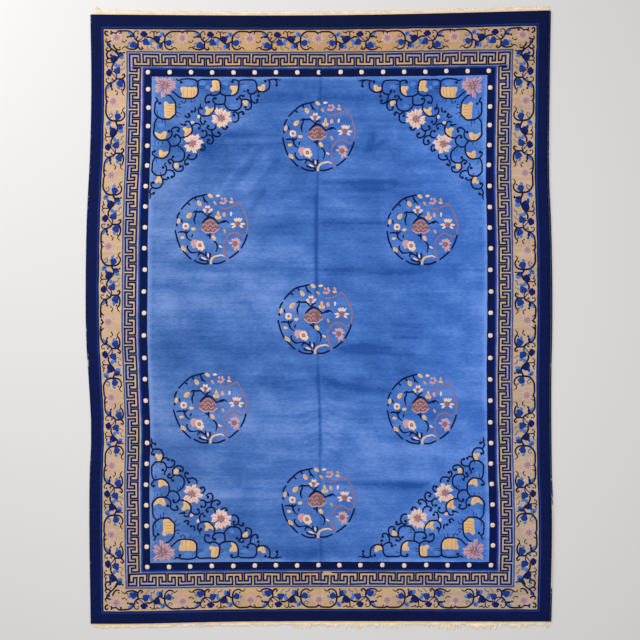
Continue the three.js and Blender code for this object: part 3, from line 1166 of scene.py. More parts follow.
# %% The key line
def stepped_aside(corners, aside):
    """A closed line of steps, moved to the right of its way by so much."""
    ahead = np.roll(corners, -1, axis=0) - corners
    ahead /= np.linalg.norm(ahead, axis=1)[:, None]
    right = np.column_stack([ahead[:, 1], -ahead[:, 0]])
    both = right + np.roll(right, 1, axis=0)
    straight = (both ** 2).sum(axis=1) / 2
    return corners + aside * both / np.maximum(straight, 1)[:, None]


key = Chart()
corner_x, corner_y = HALF_WIDTH - KEY_FROM_EDGE, HALF_LENGTH - KEY_FROM_EDGE
top_arm, bottom_arm, right_arm, left_arm = arms
top_line = top_arm * (1, -1) + (-corner_x, corner_y)
top_line[:, 0] += np.interp(top_line[:, 0], *TOP_BEAT)
key_line = np.vstack([
    top_line,
    right_arm[:, ::-1] * (-1, -1) + (corner_x, corner_y),
    bottom_arm * (-1, 1) + (corner_x, -corner_y),
    left_arm[:, ::-1] * (1, 1) + (-corner_x, -corner_y),
])
key.ruled("key_shadow", stepped_aside(key_line, KEY_SHADOW_ASIDE), KEY_SHADOW, layer=-2, closed=True)
key.ruled("key_line", key_line, KEY_LINE, closed=True)
knot(key, (0, 0))
print("corners in the key line:", len(key_line))

# %% [markdown]
# ## Pearls
#
# A row of round spots, called pearls, runs down the dark band: 17 across and
# 25 along, corners shared. Each is a cream disc with a darker ring. The
# weaver beat some rows down harder, so the spacing creeps along each side.

# %% Pearls
PEARL_FROM_SIDE = 337
PEARL_FROM_END = 330
PEARL_RADIUS = 15
PEARLS_ACROSS = 17
PEARLS_ALONG = 25
RING_WIDTH = 5
HAND_SHAKE = 0.8
pearl = Chart()
pearl.spot("pearl_ring", (0, 0), PEARL_RADIUS + RING_WIDTH, -1)
pearl.spot("pearls", (0, 0), PEARL_RADIUS)
SIDE_CREEP = ([-1450, -600, -240, 0, 360, 850, 1090, 1330, 1450], [0, 0, 14, 37, 55, 56, 47, 25, 0])
TOP_CREEP = ([-1030, -400, 100, 250, 1030], [-2, -5, -10, -14, -10])
BOTTOM_CREEP = ([-1030, -400, 0, 250, 600, 1030], [0, -5, -17, -29, -17, -7])
BOTTOM_TILT = ([-1030, 1030], [3, 8])
row_x = np.linspace(-1, 1, PEARLS_ACROSS) * (HALF_WIDTH - PEARL_FROM_SIDE)
row_y = np.linspace(-1, 1, PEARLS_ALONG) * (HALF_LENGTH - PEARL_FROM_END)
pearl_spots = [(x + np.interp(x, *TOP_CREEP), row_y[-1]) for x in row_x]
pearl_spots += [(x + np.interp(x, *BOTTOM_CREEP), row_y[0] + np.interp(x, *BOTTOM_TILT)) for x in row_x]
pearl_spots += [(x, y + np.interp(y, *SIDE_CREEP)) for x in row_x[[0, -1]] for y in row_y[1:-1]]
for spot in pearl_spots:
    knot(pearl, np.array(spot) + chance.normal(0, HAND_SHAKE, 2))
print("pearls:", len(pearl_spots))

# %% [markdown]
# ## The vine border
#
# A flowering vine runs round the cream border. One repeat is charted in two
# halves on either side of its lilac flower: an arch that holds a heart leaf,
# and a long stem with a ribbon knot, leaves and hanging bells. From the
# middle of each side the vine runs to both corners, flower to flower, and
# each side has its own places for the flowers, as on the woven rug.

# %% Vine chart: the half behind the flower
VINE_LINE = 10.6
TENDRIL = 7
THIN_TENDRIL = 6.5
TO_A_POINT = (1, 0.9, 0.5)
arch_half = Chart()
each(arch_half.curl, [
    ("vine_stems",
     [(-14, 54), (-42, 54), (-63, 53), (-78, 45), (-92, 33), (-99, 19), (-101, -2), (-100, -26), (-93, -42),
      (-78, -53), (-62, -53), (-52, -44)],
     VINE_LINE, (-60, -35)),
    ("vine_curls", [(-83, 38), (-83, 26), (-74, 18), (-63, 20), (-60, 29)], THIN_TENDRIL, (-68, 33), 4.5),
])
each(arch_half.line, [
    ("vine_stems", [(-52, -43), (-42, -42), (-35, -48), (-29, -56)], TENDRIL, TO_A_POINT),
    ("vine_stems", [(4, 51), (-1, 36)], TENDRIL, TO_A_POINT),
])
arch_half.heart("vine_sapphire", (-80, -17), 45, 20)
each(arch_half.leaf, [
    ("vine_light_blue", (-62, 0), (-46, -20), 16, -1),
    ("vine_light_blue", (-100, 20), (-126, 54), 30),
    ("vine_sapphire", (-104, 26), (-116, 46), 10, 2),
])
print("shapes behind the flower:", len(arch_half.shapes))

# %% Vine chart: the half ahead of the flower
stem_half = Chart()
each(stem_half.line, [
    ("vine_stems", [(14, 54), (48, 55), (75, 53), (89, 47), (105, 30), (109, 18), (119, 1), (130, -5)],
     VINE_LINE),
    ("vine_stems", [(32, 51), (23, 36)], TENDRIL, TO_A_POINT),
    ("vine_stems", [(130, -5), (130, -23), (129, -38)], VINE_LINE),
    ("vine_stems", [(60, -40), (45, -42), (35, -54)], TENDRIL, TO_A_POINT),
    ("vine_navy", [(130, -5), (145, 4), (161, 18), (172, 26)], 6),
    ("vine_navy", [(133, -6), (152, -7), (166, 1), (175, 14)], TENDRIL),
    ("vine_stems",
     [(179, 17), (196, 20), (211, 15), (226, 6), (241, -9), (265, -18), (282, -11), (296, -3)], VINE_LINE),
    ("vine_stems", [(224, 12), (225, 32), (224, 48)], TENDRIL),
    ("vine_stems", [(243, 48), (254, 49), (265, 53)], TENDRIL, TO_A_POINT),
    ("vine_olive", [(182, -27), (183, -42), (193, -53), (202, -53)], TENDRIL, (1, 1, 0.5)),
])
each(stem_half.curl, [
    ("vine_stems", [(36, -5), (46, -12), (58, -11)], THIN_TENDRIL, (61, -3), 5),
    ("vine_stems", [(122, -2), (123, 10), (134, 18)], THIN_TENDRIL, (129, 20), 4),
    ("vine_stems", [(108, 29), (107, 42), (114, 51), (125, 53), (134, 47)], TENDRIL, (131, 39)),
    ("vine_stems", [(129, -38), (120, -48), (102, -54), (81, -53), (65, -47), (59, -38)], VINE_LINE,
     (70, -36)),
    ("vine_stems", [(129, -38), (139, -51), (151, -54), (160, -45)], VINE_LINE, (152, -41)),
    ("vine_stems", [(224, 48), (215, 54), (205, 53)], TENDRIL, (202, 45)),
    ("vine_stems", [(225, 48), (233, 54), (241, 51)], TENDRIL, (243, 45)),
    ("vine_curls", [(230, -56), (226, -45), (214, -41)], THIN_TENDRIL, (209, -39)),
])
each(stem_half.leaf, [
    ("vine_light_blue", (106, 30), (66, 48), 20),
    ("vine_navy", (110, 24), (70, 22), 17, 1),
    ("vine_light_blue", (108, 2), (123, 26), 15),
    ("vine_light_blue", (94, -14), (66, -26), 20, -1),
    ("vine_navy", (168, 30), (190, 40), 24, -1),
    ("vine_sapphire", (160, 28), (142, 42), 20, -1),
    ("vine_light_blue", (196, -4), (212, -34), 20, -1),
    ("vine_sapphire", (250, 20), (278, 26), 18, -1),
    ("vine_light_blue", (224, 4), (194, -8), 24),
    ("vine_light_blue", (254, -16), (249, -56), 24),
    ("vine_sapphire", (266, -14), (266, -54), 22, 1),
    ("vine_navy", (277, -8), (277, -52), 14, 2),
])
each(stem_half.spot, [
    ("vine_navy", (70, 18), 7),
    ("vine_sapphire", (258, 21), 6, 1),
    ("vine_stems", (280, -51), 6),
])
each(stem_half.heart, [
    ("vine_sapphire", (106, -31), 49, 60),
    ("vine_navy", (165, 38), 43, 160),
    ("vine_sapphire", (178, -9), 47, 185),
])
stem_half.patch("vine_navy", [(222, 22), (240, 30), (260, 25), (268, 6), (256, -14), (240, -12), (227, 2)])
print("shapes ahead of the flower:", len(stem_half.shapes))

# %% Vine chart: flower and corner
flower = Chart()
flower.blossom("vine_lilac", np.array((0, 12)), 9, 9, 42, 15, squash=0.92)
flower.blossom("vine_mauve", np.array((0, 12)), 9, 5, 25, 6, start=10, squash=0.95, layer=2)
flower.spot("vine_mauve", (0, 12), 6, 3)
joiner = Chart()
joiner.line("vine_stems", [(-15, 54), (15, 54)], VINE_LINE)
notch = Chart()
notch.ruled("vine_stems", [(-16, 54), (0, 40), (16, 54)], VINE_LINE)

corner = Chart()
for points, knob in [
    ([(104, -115), (91, -110), (86, -101), (88, -91), (95, -88), (102, -95)], (101, -92)),
    ([(121, -92), (129, -99), (152, -100), (161, -91), (167, -87)], (121, -90)),
    ([(119, -144), (109, -151), (97, -153), (91, -150), (88, -142)], (92, -137)),
    ([(97, -153), (102, -167), (113, -183), (122, -193), (136, -204), (152, -221), (163, -237), (170, -246)],
     None),
    ([(122, -193), (112, -204), (100, -206), (91, -200), (91, -190)], (98, -187)),
    ([(100, -206), (93, -219), (92, -235), (99, -246), (111, -249), (122, -240), (118, -230)], (112, -230)),
    ([(133, -168), (138, -183), (149, -196), (163, -201), (173, -196)], (170, -186)),
]:
    corner.curl("vine_stems", points, VINE_LINE, knob)
each(corner.line, [
    ("vine_stems", [(152, -100), (153, -110)], 6.5),
    ("vine_stems", [(181, -92), (180, -104)], 6.5),
])
corner.heart("vine_sapphire", (108, -172), 26, 30)
each(corner.leaf, [
    ("vine_light_blue", (128, -208), (118, -222), 12),
    ("vine_sapphire", (128, -108), (112, -102), 11),
])
print("shapes round a corner:", len(corner.shapes))

# %% Lay the vine
VINE_FROM_EDGE = 142
vine_top = HALF_LENGTH - VINE_FROM_EDGE
vine_side = HALF_WIDTH - VINE_FROM_EDGE
CORNER_FLOWER = (152 - HALF_WIDTH, HALF_LENGTH - 140)
STEM_END = 296
EASY_STEM = 305
END_ARCH = ([-200, 200], [-212, 212])
SIDE_ARCH = ([-200, 0, 200], [-228, 0, 200])
# Each row: which end or side of the rug, and the places of its flowers.
END_VINES = [
    (1, (-1223, -826, -423, -13)),
    (1, (1221, 809, 402, -13)),
    (-1, (-1221, -823, -420, -14)),
    (-1, (1221, 815, 397, -14)),
]
SIDE_VINES = [
    (-1, (-18, 430, 850, 1285)),
    (-1, (-18, -463, -864, -1270)),
    (1, (-5, 408, 862, 1285)),
    (1, (-5, -451, -863, -1262)),
]


def lay_vine(places, axis, out, edge, arch):
    """Stems and arches from flower to flower, as far as the last one."""
    axis, out = np.array(axis), np.array(out)
    way = axis * np.sign(places[-1] - places[0])
    arch_room = -np.interp(-101, *arch)
    for first, last in zip(places, places[1:]):
        room = abs(last - first) - arch_room
        ease = 0 if first != places[0] else max(room - EASY_STEM, 0)
        reach = ([0, 40, 226, STEM_END], [0, 40 + ease, 228 + ease, room])
        knot(stem_half, axis * first + edge, way, out, reach)
        knot(arch_half, axis * last + edge, way, out, arch)
    return way


def lay_flower(place, way, out, under):
    """A flower and the piece of stem that runs on under it."""
    knot(flower, place, way, out)
    knot(under, place, way, out)


for side, places in END_VINES:
    edge, out = np.array((0, side * vine_top)), (0, side)
    lay_vine(places, (1, 0), out, edge, END_ARCH)
    for place in places[1:3]:
        lay_flower(edge + (place, 0), (1, 0), out, joiner)
    if places[0] < 0:
        lay_flower(edge + (places[3], 0), (1, 0), out, notch)
for side, places in SIDE_VINES:
    edge, out = np.array((side * vine_side, 0)), (side, 0)
    way = lay_vine(places, (0, 1), out, edge, SIDE_ARCH)
    knot(stem_half, edge + (0, places[3]), way, out, ([0, STEM_END], [0, EASY_STEM]))
    for place in places[1:]:
        lay_flower(edge + (0, place), way, out, joiner)
    if places[1] > 0:
        lay_flower(edge + (0, places[0]), way, out, notch)
knot_mirrored(corner, (-HALF_WIDTH, HALF_LENGTH))
knot_mirrored(flower, CORNER_FLOWER)
print("shapes knotted so far:", sum(len(shapes) for shapes in knotted.values()))

# %% [markdown]
# ## The corner scrolls
#
# Lotus scrolls fill each corner of the field: navy stems that curl away from
# a pink lotus, golden leaves cupped in the curls, and two open flowers on
# the slanting edge. One corner is drawn, x across and y down from
# the corner of the field, and mirrored into the other three.

# %% Corner stems
SCROLL_LINE = 10.6
SCROLL_KNOB = 9.4
# Each row: the points a stem runs through and the knob that ends it.
SCROLLS = [
    ([(123, 90), (142, 107), (164, 126), (186, 132), (213, 133), (240, 131), (259, 122), (272, 104),
      (273, 77), (271, 53), (271, 37), (262, 25), (240, 18), (213, 16), (191, 19), (175, 21), (167, 29)],
     (175, 39)),
    ([(271, 37), (278, 26), (294, 20), (343, 20), (375, 19), (395, 25), (403, 46), (403, 95), (388, 109),
      (369, 115), (346, 111), (327, 116), (318, 134), (320, 153), (331, 161)],
     (339, 153)),
    ([(403, 95), (411, 105), (433, 117), (435, 143), (430, 163), (408, 168), (382, 166), (367, 153),
      (364, 137), (370, 128)],
     (378, 131)),
    ([(430, 165), (446, 188), (463, 201), (488, 204), (511, 200), (527, 185), (532, 169), (532, 147),
      (537, 138), (557, 137), (576, 143), (589, 163), (590, 179), (582, 193), (566, 198), (553, 194)],
     (556, 182)),
    ([(532, 147), (521, 130), (511, 127)], (505, 137)), ([(511, 127), (521, 117), (532, 112)], (540, 118)),
    ([(403, 95), (417, 109), (443, 116), (466, 117), (482, 115), (501, 101), (511, 79), (513, 33),
      (502, 25), (485, 22), (474, 26)],
     (475, 34)),
    ([(513, 33), (524, 25), (553, 22), (586, 22), (605, 24), (618, 43), (621, 72), (628, 84), (647, 91),
      (670, 88), (692, 69), (696, 46), (694, 24), (682, 21)],
     (671, 28)),
    ([(694, 23), (709, 18), (728, 20), (738, 33), (740, 45)], (737, 54)),
    ([(629, 86), (633, 101)], (629, 115)),
    ([(621, 82), (615, 91), (602, 101), (586, 105), (573, 101), (565, 93)], (567, 85)),
    ([(582, 106), (583, 124), (589, 143), (602, 156), (618, 158), (628, 151)], (624, 141)),
    ([(93, 112), (110, 118), (126, 134), (140, 153), (143, 178), (144, 202), (142, 224), (126, 240),
      (110, 255), (88, 257), (64, 256), (45, 247), (26, 229), (19, 213), (20, 186), (22, 161), (30, 152),
      (42, 151)],
     (49, 162)),
    ([(38, 248), (26, 262), (19, 278), (18, 308), (17, 344), (28, 361), (48, 377), (71, 380), (94, 379),
      (109, 370), (121, 357), (124, 341), (122, 329), (116, 321)],
     (106, 328)),
    ([(119, 321), (131, 308), (148, 302), (164, 308), (168, 317)], (160, 324)),
    ([(94, 379), (106, 390), (116, 410), (116, 427), (114, 447), (103, 467), (86, 483), (68, 487),
      (48, 485), (31, 482), (17, 467), (12, 456), (17, 447)],
     (25, 447)),
    ([(33, 482), (20, 496), (13, 519), (12, 542), (12, 562), (23, 576), (37, 588), (51, 590), (69, 589),
      (86, 582), (94, 568), (97, 547), (93, 533), (84, 528)],
     (77, 541)),
    ([(97, 559), (106, 556), (123, 556), (136, 562), (144, 573), (144, 588), (139, 596)], (130, 596)),
    ([(63, 590), (71, 602), (78, 616), (79, 633), (71, 651), (60, 662), (43, 665), (23, 662), (13, 648),
      (10, 636), (15, 629)],
     (23, 632)),
    ([(77, 608), (91, 613), (104, 611)], (108, 602)),
    ([(20, 662), (11, 671), (7, 688), (14, 699), (23, 700)], (30, 694)),
    ([(117, 410), (134, 417), (151, 413), (163, 404), (174, 387), (174, 370), (166, 356), (150, 347),
      (138, 350)],
     (140, 359)),
    ([(174, 364), (200, 360), (217, 354), (232, 341), (240, 329), (241, 302), (232, 283), (224, 270),
      (210, 267), (199, 275)],
     (201, 288)),
    ([(243, 294), (256, 281), (272, 279), (286, 286), (291, 299)], (283, 308)),
    ([(163, 413), (180, 424), (197, 442), (202, 462), (200, 482), (192, 496), (177, 506), (163, 509),
      (143, 509), (129, 497), (126, 485)],
     (135, 478)),
    ([(126, 495), (114, 493), (106, 502), (107, 511)], (116, 514)),
    ([(140, 509), (136, 519), (134, 536), (143, 550), (157, 562), (174, 563), (189, 558), (196, 545),
      (193, 532), (186, 530)],
     (179, 535)),
    ([(272, 459), (275, 473), (266, 487), (249, 493), (232, 490), (220, 482), (220, 473)], (229, 468)),
    ([(223, 486), (209, 496), (204, 510), (209, 525), (216, 527)], (221, 519)),
    ([(300, 403), (313, 410), (320, 424), (316, 439), (307, 442)], (300, 435)),
    ([(295, 361), (309, 364), (323, 356), (328, 342), (324, 327), (313, 319)], (303, 325)),
    ([(323, 356), (338, 349), (355, 353), (366, 367), (368, 384), (360, 399), (349, 402), (335, 396),
      (331, 386)],
     (340, 380)),
    ([(381, 289), (381, 302), (370, 316), (354, 320), (335, 313), (325, 302)], (336, 296)),
    ([(359, 320), (359, 338), (372, 354), (385, 360), (401, 359), (409, 347), (407, 338)], (398, 336)),
    ([(417, 299), (424, 311), (437, 315), (448, 311)], (448, 302)),
    ([(477, 270), (495, 273), (511, 263), (516, 247), (514, 228), (505, 218), (492, 213), (483, 221)],
     (488, 232)),
    ([(513, 224), (524, 214), (537, 210), (546, 213)], (543, 222)),
    ([(374, 166), (374, 183), (371, 202), (359, 218), (343, 233), (324, 235), (305, 235), (298, 233),
      (286, 224), (278, 207), (279, 191), (288, 184)],
     (296, 190)),
    ([(291, 236), (290, 259), (294, 275), (305, 285), (315, 280)], (318, 269)),
    ([(259, 183), (259, 202), (251, 214)], (239, 210)),
    ([(197, 232), (210, 244), (224, 240), (229, 232)], (221, 226)),
]
SCROLL_TAILS = [
    [(167, 27), (151, 26), (142, 15)], [(346, 111), (354, 100)],
    [(728, 19), (744, 19), (754, 25), (767, 17)], [(553, 87), (540, 94)], [(35, 148), (31, 134), (21, 125)],
    [(84, 526), (88, 516), (95, 512)], [(7, 703), (11, 716), (7, 731)],
    [(197, 288), (180, 286), (169, 279)], [(291, 184), (291, 160)], [(42, 244), (55, 254)],
]
SCROLL_HATCHES = [
    [(275, 60), (303, 61)], [(275, 72), (308, 72)], [(235, 136), (240, 161)], [(254, 132), (260, 150)],
    [(37, 202), (37, 232)], [(149, 217), (180, 229)], [(142, 230), (157, 247)], [(65, 262), (65, 281)],
    [(81, 262), (83, 297)], [(408, 56), (432, 57)], [(408, 70), (432, 75)], [(521, 49), (547, 49)],
    [(443, 166), (471, 168)], [(450, 180), (469, 184)], [(48, 390), (48, 406)], [(71, 387), (71, 404)],
    [(166, 424), (166, 449)], [(180, 430), (183, 450)], [(38, 493), (38, 516)], [(66, 570), (66, 585)],
]
SCROLL_TINY = [
    ([(202, 136), (203, 148), (194, 160), (187, 159)], (180, 152)),
    ([(148, 175), (156, 186), (169, 187), (172, 178)], (165, 168)),
]

scroll = Chart()
for points, knob in SCROLLS:
    scroll.curl("scroll_stems", points, SCROLL_LINE, knob, SCROLL_KNOB, (0.9, 1.05, 0.95))
for points in SCROLL_TAILS:
    scroll.line("scroll_stems", points, SCROLL_LINE, (1, 0.9, 0.4))
for points, knob in SCROLL_TINY:
    scroll.curl("scroll_hatches", points, 7, knob, 6.5)
for points in SCROLL_HATCHES:
    scroll.line("scroll_hatches", points, 6.0, (1, 1, 0.5))
print("scroll shapes:", len(scroll.shapes))

# %% Golden leaves
GOLDEN_LEAVES = [
    [(170, 69), (178, 62), (188, 66), (198, 62), (210, 67), (224, 62), (236, 67), (253, 62), (267, 66),
     (268, 100), (260, 117), (241, 128), (215, 130), (179, 129), (180, 108), (170, 88)],
    [(73, 159), (87, 150), (99, 161), (110, 168), (139, 164), (140, 199), (139, 224), (126, 237),
     (110, 252), (88, 252), (75, 244), (77, 221), (74, 205), (77, 190), (74, 174)],
    [(357, 25), (385, 23), (396, 30), (399, 53), (399, 85), (375, 85), (359, 93), (344, 85), (344, 72),
     (356, 64)],
    [(463, 59), (482, 57), (506, 59), (507, 79), (501, 98), (482, 112), (469, 114), (473, 98), (476, 88),
     (464, 75)],
    [(624, 60), (641, 60), (654, 46), (670, 49), (670, 66), (663, 85), (647, 87), (629, 82)],
    [(537, 145), (553, 142), (569, 147), (566, 175), (556, 178), (550, 169), (538, 159)],
    [(316, 188), (325, 178), (335, 183), (340, 192), (354, 193), (371, 186), (367, 205), (354, 221),
     (335, 231), (319, 230), (320, 216), (325, 206)],
    [(184, 310), (196, 300), (210, 304), (218, 309), (236, 308), (236, 329), (224, 343), (210, 354),
     (197, 356), (199, 338), (196, 324)],
    [(23, 331), (37, 337), (51, 343), (64, 340), (74, 330), (87, 327), (96, 338), (93, 353), (86, 370),
     (71, 376), (54, 375), (37, 361)],
    [(51, 441), (61, 436), (71, 441), (81, 450), (108, 446), (102, 462), (86, 477), (68, 484), (53, 481),
     (51, 461)],
    [(142, 515), (151, 510), (166, 510), (167, 525), (170, 539), (157, 547), (146, 544), (140, 530)],
    [(43, 594), (57, 590), (69, 605), (73, 619), (71, 632), (60, 635), (54, 627), (48, 636), (37, 636),
     (31, 625), (38, 613), (45, 604)],
]
GOLD_VEINS = [
    [(190, 124), (188, 74)], [(210, 125), (210, 76)], [(235, 124), (236, 76)], [(253, 112), (252, 74)],
    [(132, 195), (84, 190)], [(132, 180), (86, 172)], [(132, 212), (84, 212)], [(122, 232), (84, 232)],
    [(385, 80), (377, 35)], [(650, 80), (655, 60)], [(345, 222), (352, 203)], [(60, 368), (76, 348)],
    [(215, 345), (220, 318)], [(75, 475), (85, 460)],
]
for outline in GOLDEN_LEAVES:
    scroll.patch("scroll_gold", outline, fine=True)
for points in GOLD_VEINS:
    scroll.line("scroll_amber", points, 6, (1, 1, 0.5), 3)
print("golden leaves in a corner:", len(GOLDEN_LEAVES))

# %% Corner flowers
PETAL_ROOT = 0.2
VEIN_REACH = (0.3, 0.8)
POINTED = 0.2
PETAL_OUTLINE = [
    (0, 0), (0.28, 0.26), (0.5, 0.44), (0.76, 0.46), (1.04, 0.34), (0.88, 0.12), (0.84, -0.1),
    (0.92, -0.28), (0.66, -0.32), (0.46, -0.44), (0.24, -0.26),
]


def open_flower(chart, dye, middle, tips, width, layer=0, veins=None):
    """Petals from near the middle out to each tip, a vein down each.

    Veined petals are the large ones, with a hooked tip and a smaller point.
    """
    middle = np.array(middle, dtype=float)
    for number, tip in enumerate(np.array(tips, dtype=float)):
        root = middle + (tip - middle) * PETAL_ROOT
        if veins:
            run = tip - root
            side = np.array([-run[1], run[0]]) / np.hypot(*run) * width * (-1) ** (number // 2)
            chart.patch(dye, [root + run * ahead + side * aside for ahead, aside in PETAL_OUTLINE],
                        layer, fine=True, soft=False)
            vein = [middle + (tip - middle) * share for share in VEIN_REACH]
            chart.line(veins, vein, width / 6, (1, 1, 0.3), layer + 2)
        else:
            chart.leaf(dye, root, tip, width, layer, blunt=POINTED)


LOTUS = (72, 52)
FLOWER_ACROSS = (414, 250)
FLOWER_BELOW = (247, 399)
# Each row: dye, middle, tips of the petals, width, layer, dye of the veins.
CORNER_PETALS = [
    ("scroll_rose", LOTUS,
     [(17, 11), (53, 9), (90, 12), (122, 15), (146, 37), (149, 63), (125, 88), (105, 114), (70, 133),
      (27, 102), (17, 62)],
     31, 0, "scroll_mauve"),
    ("scroll_mauve", LOTUS, [(42, 22), (70, 26), (104, 44), (112, 64), (92, 84), (66, 92)], 13, 2),
    ("scroll_amber", LOTUS, [(52, 34), (88, 48), (80, 74)], 10, 4),
    ("scroll_cream", FLOWER_ACROSS,
     [(376, 192), (408, 187), (447, 203), (474, 220), (480, 257), (454, 285), (424, 306), (392, 307),
      (359, 278), (356, 245)],
     32, 0, "scroll_rose"),
    ("scroll_cream", FLOWER_BELOW,
     [(195, 362), (222, 348), (254, 345), (287, 347), (313, 383), (300, 412), (289, 436), (262, 460),
      (222, 450), (203, 425)],
     31, 0, "scroll_rose"),
]
for petals in CORNER_PETALS:
    open_flower(scroll, *petals)
for middle in (FLOWER_ACROSS, FLOWER_BELOW):
    scroll.blossom("scroll_mauve", np.array(middle), 6, 5, 27, 15, start=20, layer=2)
    scroll.blossom("scroll_amber", np.array(middle), 6, 2, 20, 3.5, start=50, layer=4)
    scroll.spot("scroll_mauve", middle, 10, 1)
each(scroll.spot, [
    ("scroll_mauve", LOTUS, 14, 1),
    ("scroll_cream", (281, 239), 10, 0, 1.2),
    ("scroll_cream", (243, 275), 12, 0, 0.85),
    ("scroll_rose", (243, 279), 6, 2),
])
# Each row: the middle of a light patch, its radius and its squash.
SCROLL_TINTS = [
    ((222, 44), 30, 0.5), ((300, 44), 22, 0.6), ((330, 66), 14, 1.0), ((435, 46), 20, 0.7),
    ((552, 60), 26, 0.5), ((46, 214), 14, 1.8), ((60, 292), 30, 0.5), ((46, 400), 20, 0.8),
    ((176, 384), 14, 1.6), ((470, 176), 24, 0.6), ((46, 512), 22, 0.8),
]
for middle, radius, squash in SCROLL_TINTS:
    scroll.spot("scroll_tint", middle, radius, -2, squash)
print("scroll shapes with leaves and flowers:", len(scroll.shapes))

# %% Knot the corners
SCROLL_STRETCH = 1.02
FIELD_CORNER = (HALF_WIDTH - FIELD_EDGE, HALF_LENGTH - FIELD_EDGE)
# Each row: which corner, and how far its scrolls stray from it.
SCROLL_CORNERS = [((-1, 1), (-1, 5)), ((1, 1), (-10, -1)), ((-1, -1), (-2, 3)), ((1, -1), (-13, 8))]
for turn, shift in SCROLL_CORNERS:
    origin = np.array(FIELD_CORNER) * turn + shift
    knot(scroll, origin, (-turn[0] * SCROLL_STRETCH, 0), (0, -turn[1]))
print("corners knotted:", len(SCROLL_CORNERS))

# %% [markdown]
# ## The roundels
#
# Seven rings of flowers float on the field, all turned the same way. Each
# ring is half a navy bough and half a rose one, and holds a fan-shaped peony,
# a white lotus, a chrysanthemum and small blossoms among golden leaves. The
# drawing is laid out on squares of 2.86 mm, x across and y down.

# %% Squared paper
SQUARE = 2.86
ROUNDEL_MIDDLE = (80.3, 78.0)
ROUNDEL_LINE = 4.0


class RoundelChart(Chart):
    """A chart on squared paper: shapes are given in squares from its corner."""

    def on_paper(self, points):
        return (np.asarray(points, dtype=float) - ROUNDEL_MIDDLE) * SQUARE

    def bough(self, dye, points, width, taper=(1, 1, 1), layer=0):
        self.line(dye, self.on_paper(points), width * SQUARE, taper, layer)

    def blade(self, dye, base, tip, width, layer=0, bow=0.0):
        base, tip = self.on_paper(base), self.on_paper(tip)
        self.leaf(dye, base, tip, width * SQUARE, layer, bow * SQUARE, POINTED)

    def dot(self, dye, middle, radius, layer=0, squash=1.0):
        self.spot(dye, self.on_paper(middle), radius * SQUARE, layer, squash)

    def star(self, dye, middle, tips, width, layer=0):
        open_flower(self, dye, self.on_paper(middle), self.on_paper(tips), width * SQUARE, layer)

    def shape(self, dye, outline, fine=True):
        self.patch(dye, self.on_paper(outline), fine=fine)


roundel = RoundelChart()
print("a roundel, mm wide:", round(2 * ROUNDEL_MIDDLE[0] * SQUARE))

# %% Roundel boughs
NAVY_BOUGHS = [
    [(16.5, 38.5), (24, 30), (30, 24.5), (37, 18), (45, 13.5), (56, 10.5), (62, 9), (70, 7)],
    [(14, 43.5), (10, 50), (7.5, 57)], [(6.5, 67), (7.5, 73)],
    [(5, 81), (7, 92), (9.5, 101), (14, 112), (17, 118)], [(21.5, 124), (28, 131), (35, 138), (39, 141)],
    [(45, 143), (53, 147.5), (62, 150), (73, 150), (74.5, 147), (72, 144.5), (66, 143.5), (58, 141.5),
     (56.5, 138)],
    [(83, 149.5), (90, 150), (98, 149), (104, 146.5), (110, 144)],
    [(117, 140), (125, 135), (131, 130), (138, 124.5)], [(142, 119), (148, 108), (152, 98), (154.5, 90)],
]
NAVY_TWIGS = [
    [(31, 26), (36, 29.5)], [(45, 14.5), (49, 20)], [(62, 9.5), (64.5, 17), (73, 26)],
    [(65.5, 17), (64.5, 24)], [(42, 46), (47, 42.5), (53, 44), (59, 43), (64, 45), (68, 49), (72, 53)],
    [(72, 53), (75, 49), (82, 45)], [(48, 44), (47, 50), (44, 57), (44, 62), (46, 70)],
    [(26, 81), (27, 88), (29, 95), (33, 100), (38, 102.5)], [(27, 88), (22, 85), (14, 85), (10.5, 86.5)],
    [(29, 88), (31, 84.5), (35, 82)], [(77, 86), (77, 93), (77.5, 99)], [(70, 91), (77, 94)],
    [(85, 103), (90, 107), (93, 114), (92, 121), (90, 126)],
    [(32, 112), (31, 118), (34, 123), (38, 127), (45, 127.5), (52, 126)],
    [(52, 126), (57, 128), (54, 131), (52.5, 136)], [(57, 127), (63, 130), (69, 134), (74, 140)],
    [(68, 126), (70, 134)], [(77, 127), (79, 133), (76, 141)],
    [(92, 67.5), (99, 65), (105, 62), (110, 61.5), (116, 66)],
    [(61, 66), (67, 60), (74, 55.5), (80, 55), (86, 58), (92, 65)],
]
ROSE_BOUGHS = [
    [(154, 86), (156.5, 72), (155, 60), (152, 52), (148, 42), (143, 35)],
    [(99, 34.5), (106, 36), (116, 35), (121, 33)], [(121, 33), (127, 30), (133, 27), (134, 23)],
    [(151, 91), (145, 93.5), (138, 90), (131, 86.5), (122, 88), (115, 93), (109, 101), (106, 109)],
    [(107, 113), (108, 122), (110, 130), (112, 137), (113.5, 143)], [(143, 33), (140, 28), (134, 24)],
]
for points in NAVY_BOUGHS:
    roundel.bough("scroll_stems", points, ROUNDEL_LINE, (0.9, 1, 0.9))
for points in NAVY_TWIGS:
    roundel.bough("scroll_stems", points, 3.7, (0.9, 1.1, 0.6))
for points in ROSE_BOUGHS:
    roundel.bough("roundel_bough", points, 4.2, (0.9, 1, 0.7))
each(roundel.blade, [
    ("scroll_stems", (19, 68), (17, 56), 4),
    ("scroll_stems", (38, 98), (42, 87), 4),
    ("scroll_stems", (44, 54), (45, 66), 4.5),
    ("scroll_stems", (54, 131), (62, 125), 5),
    ("scroll_stems", (99, 65.5), (112, 62.5), 4.4, 1),
])
print("boughs and twigs:", len(NAVY_BOUGHS) + len(NAVY_TWIGS) + len(ROSE_BOUGHS))

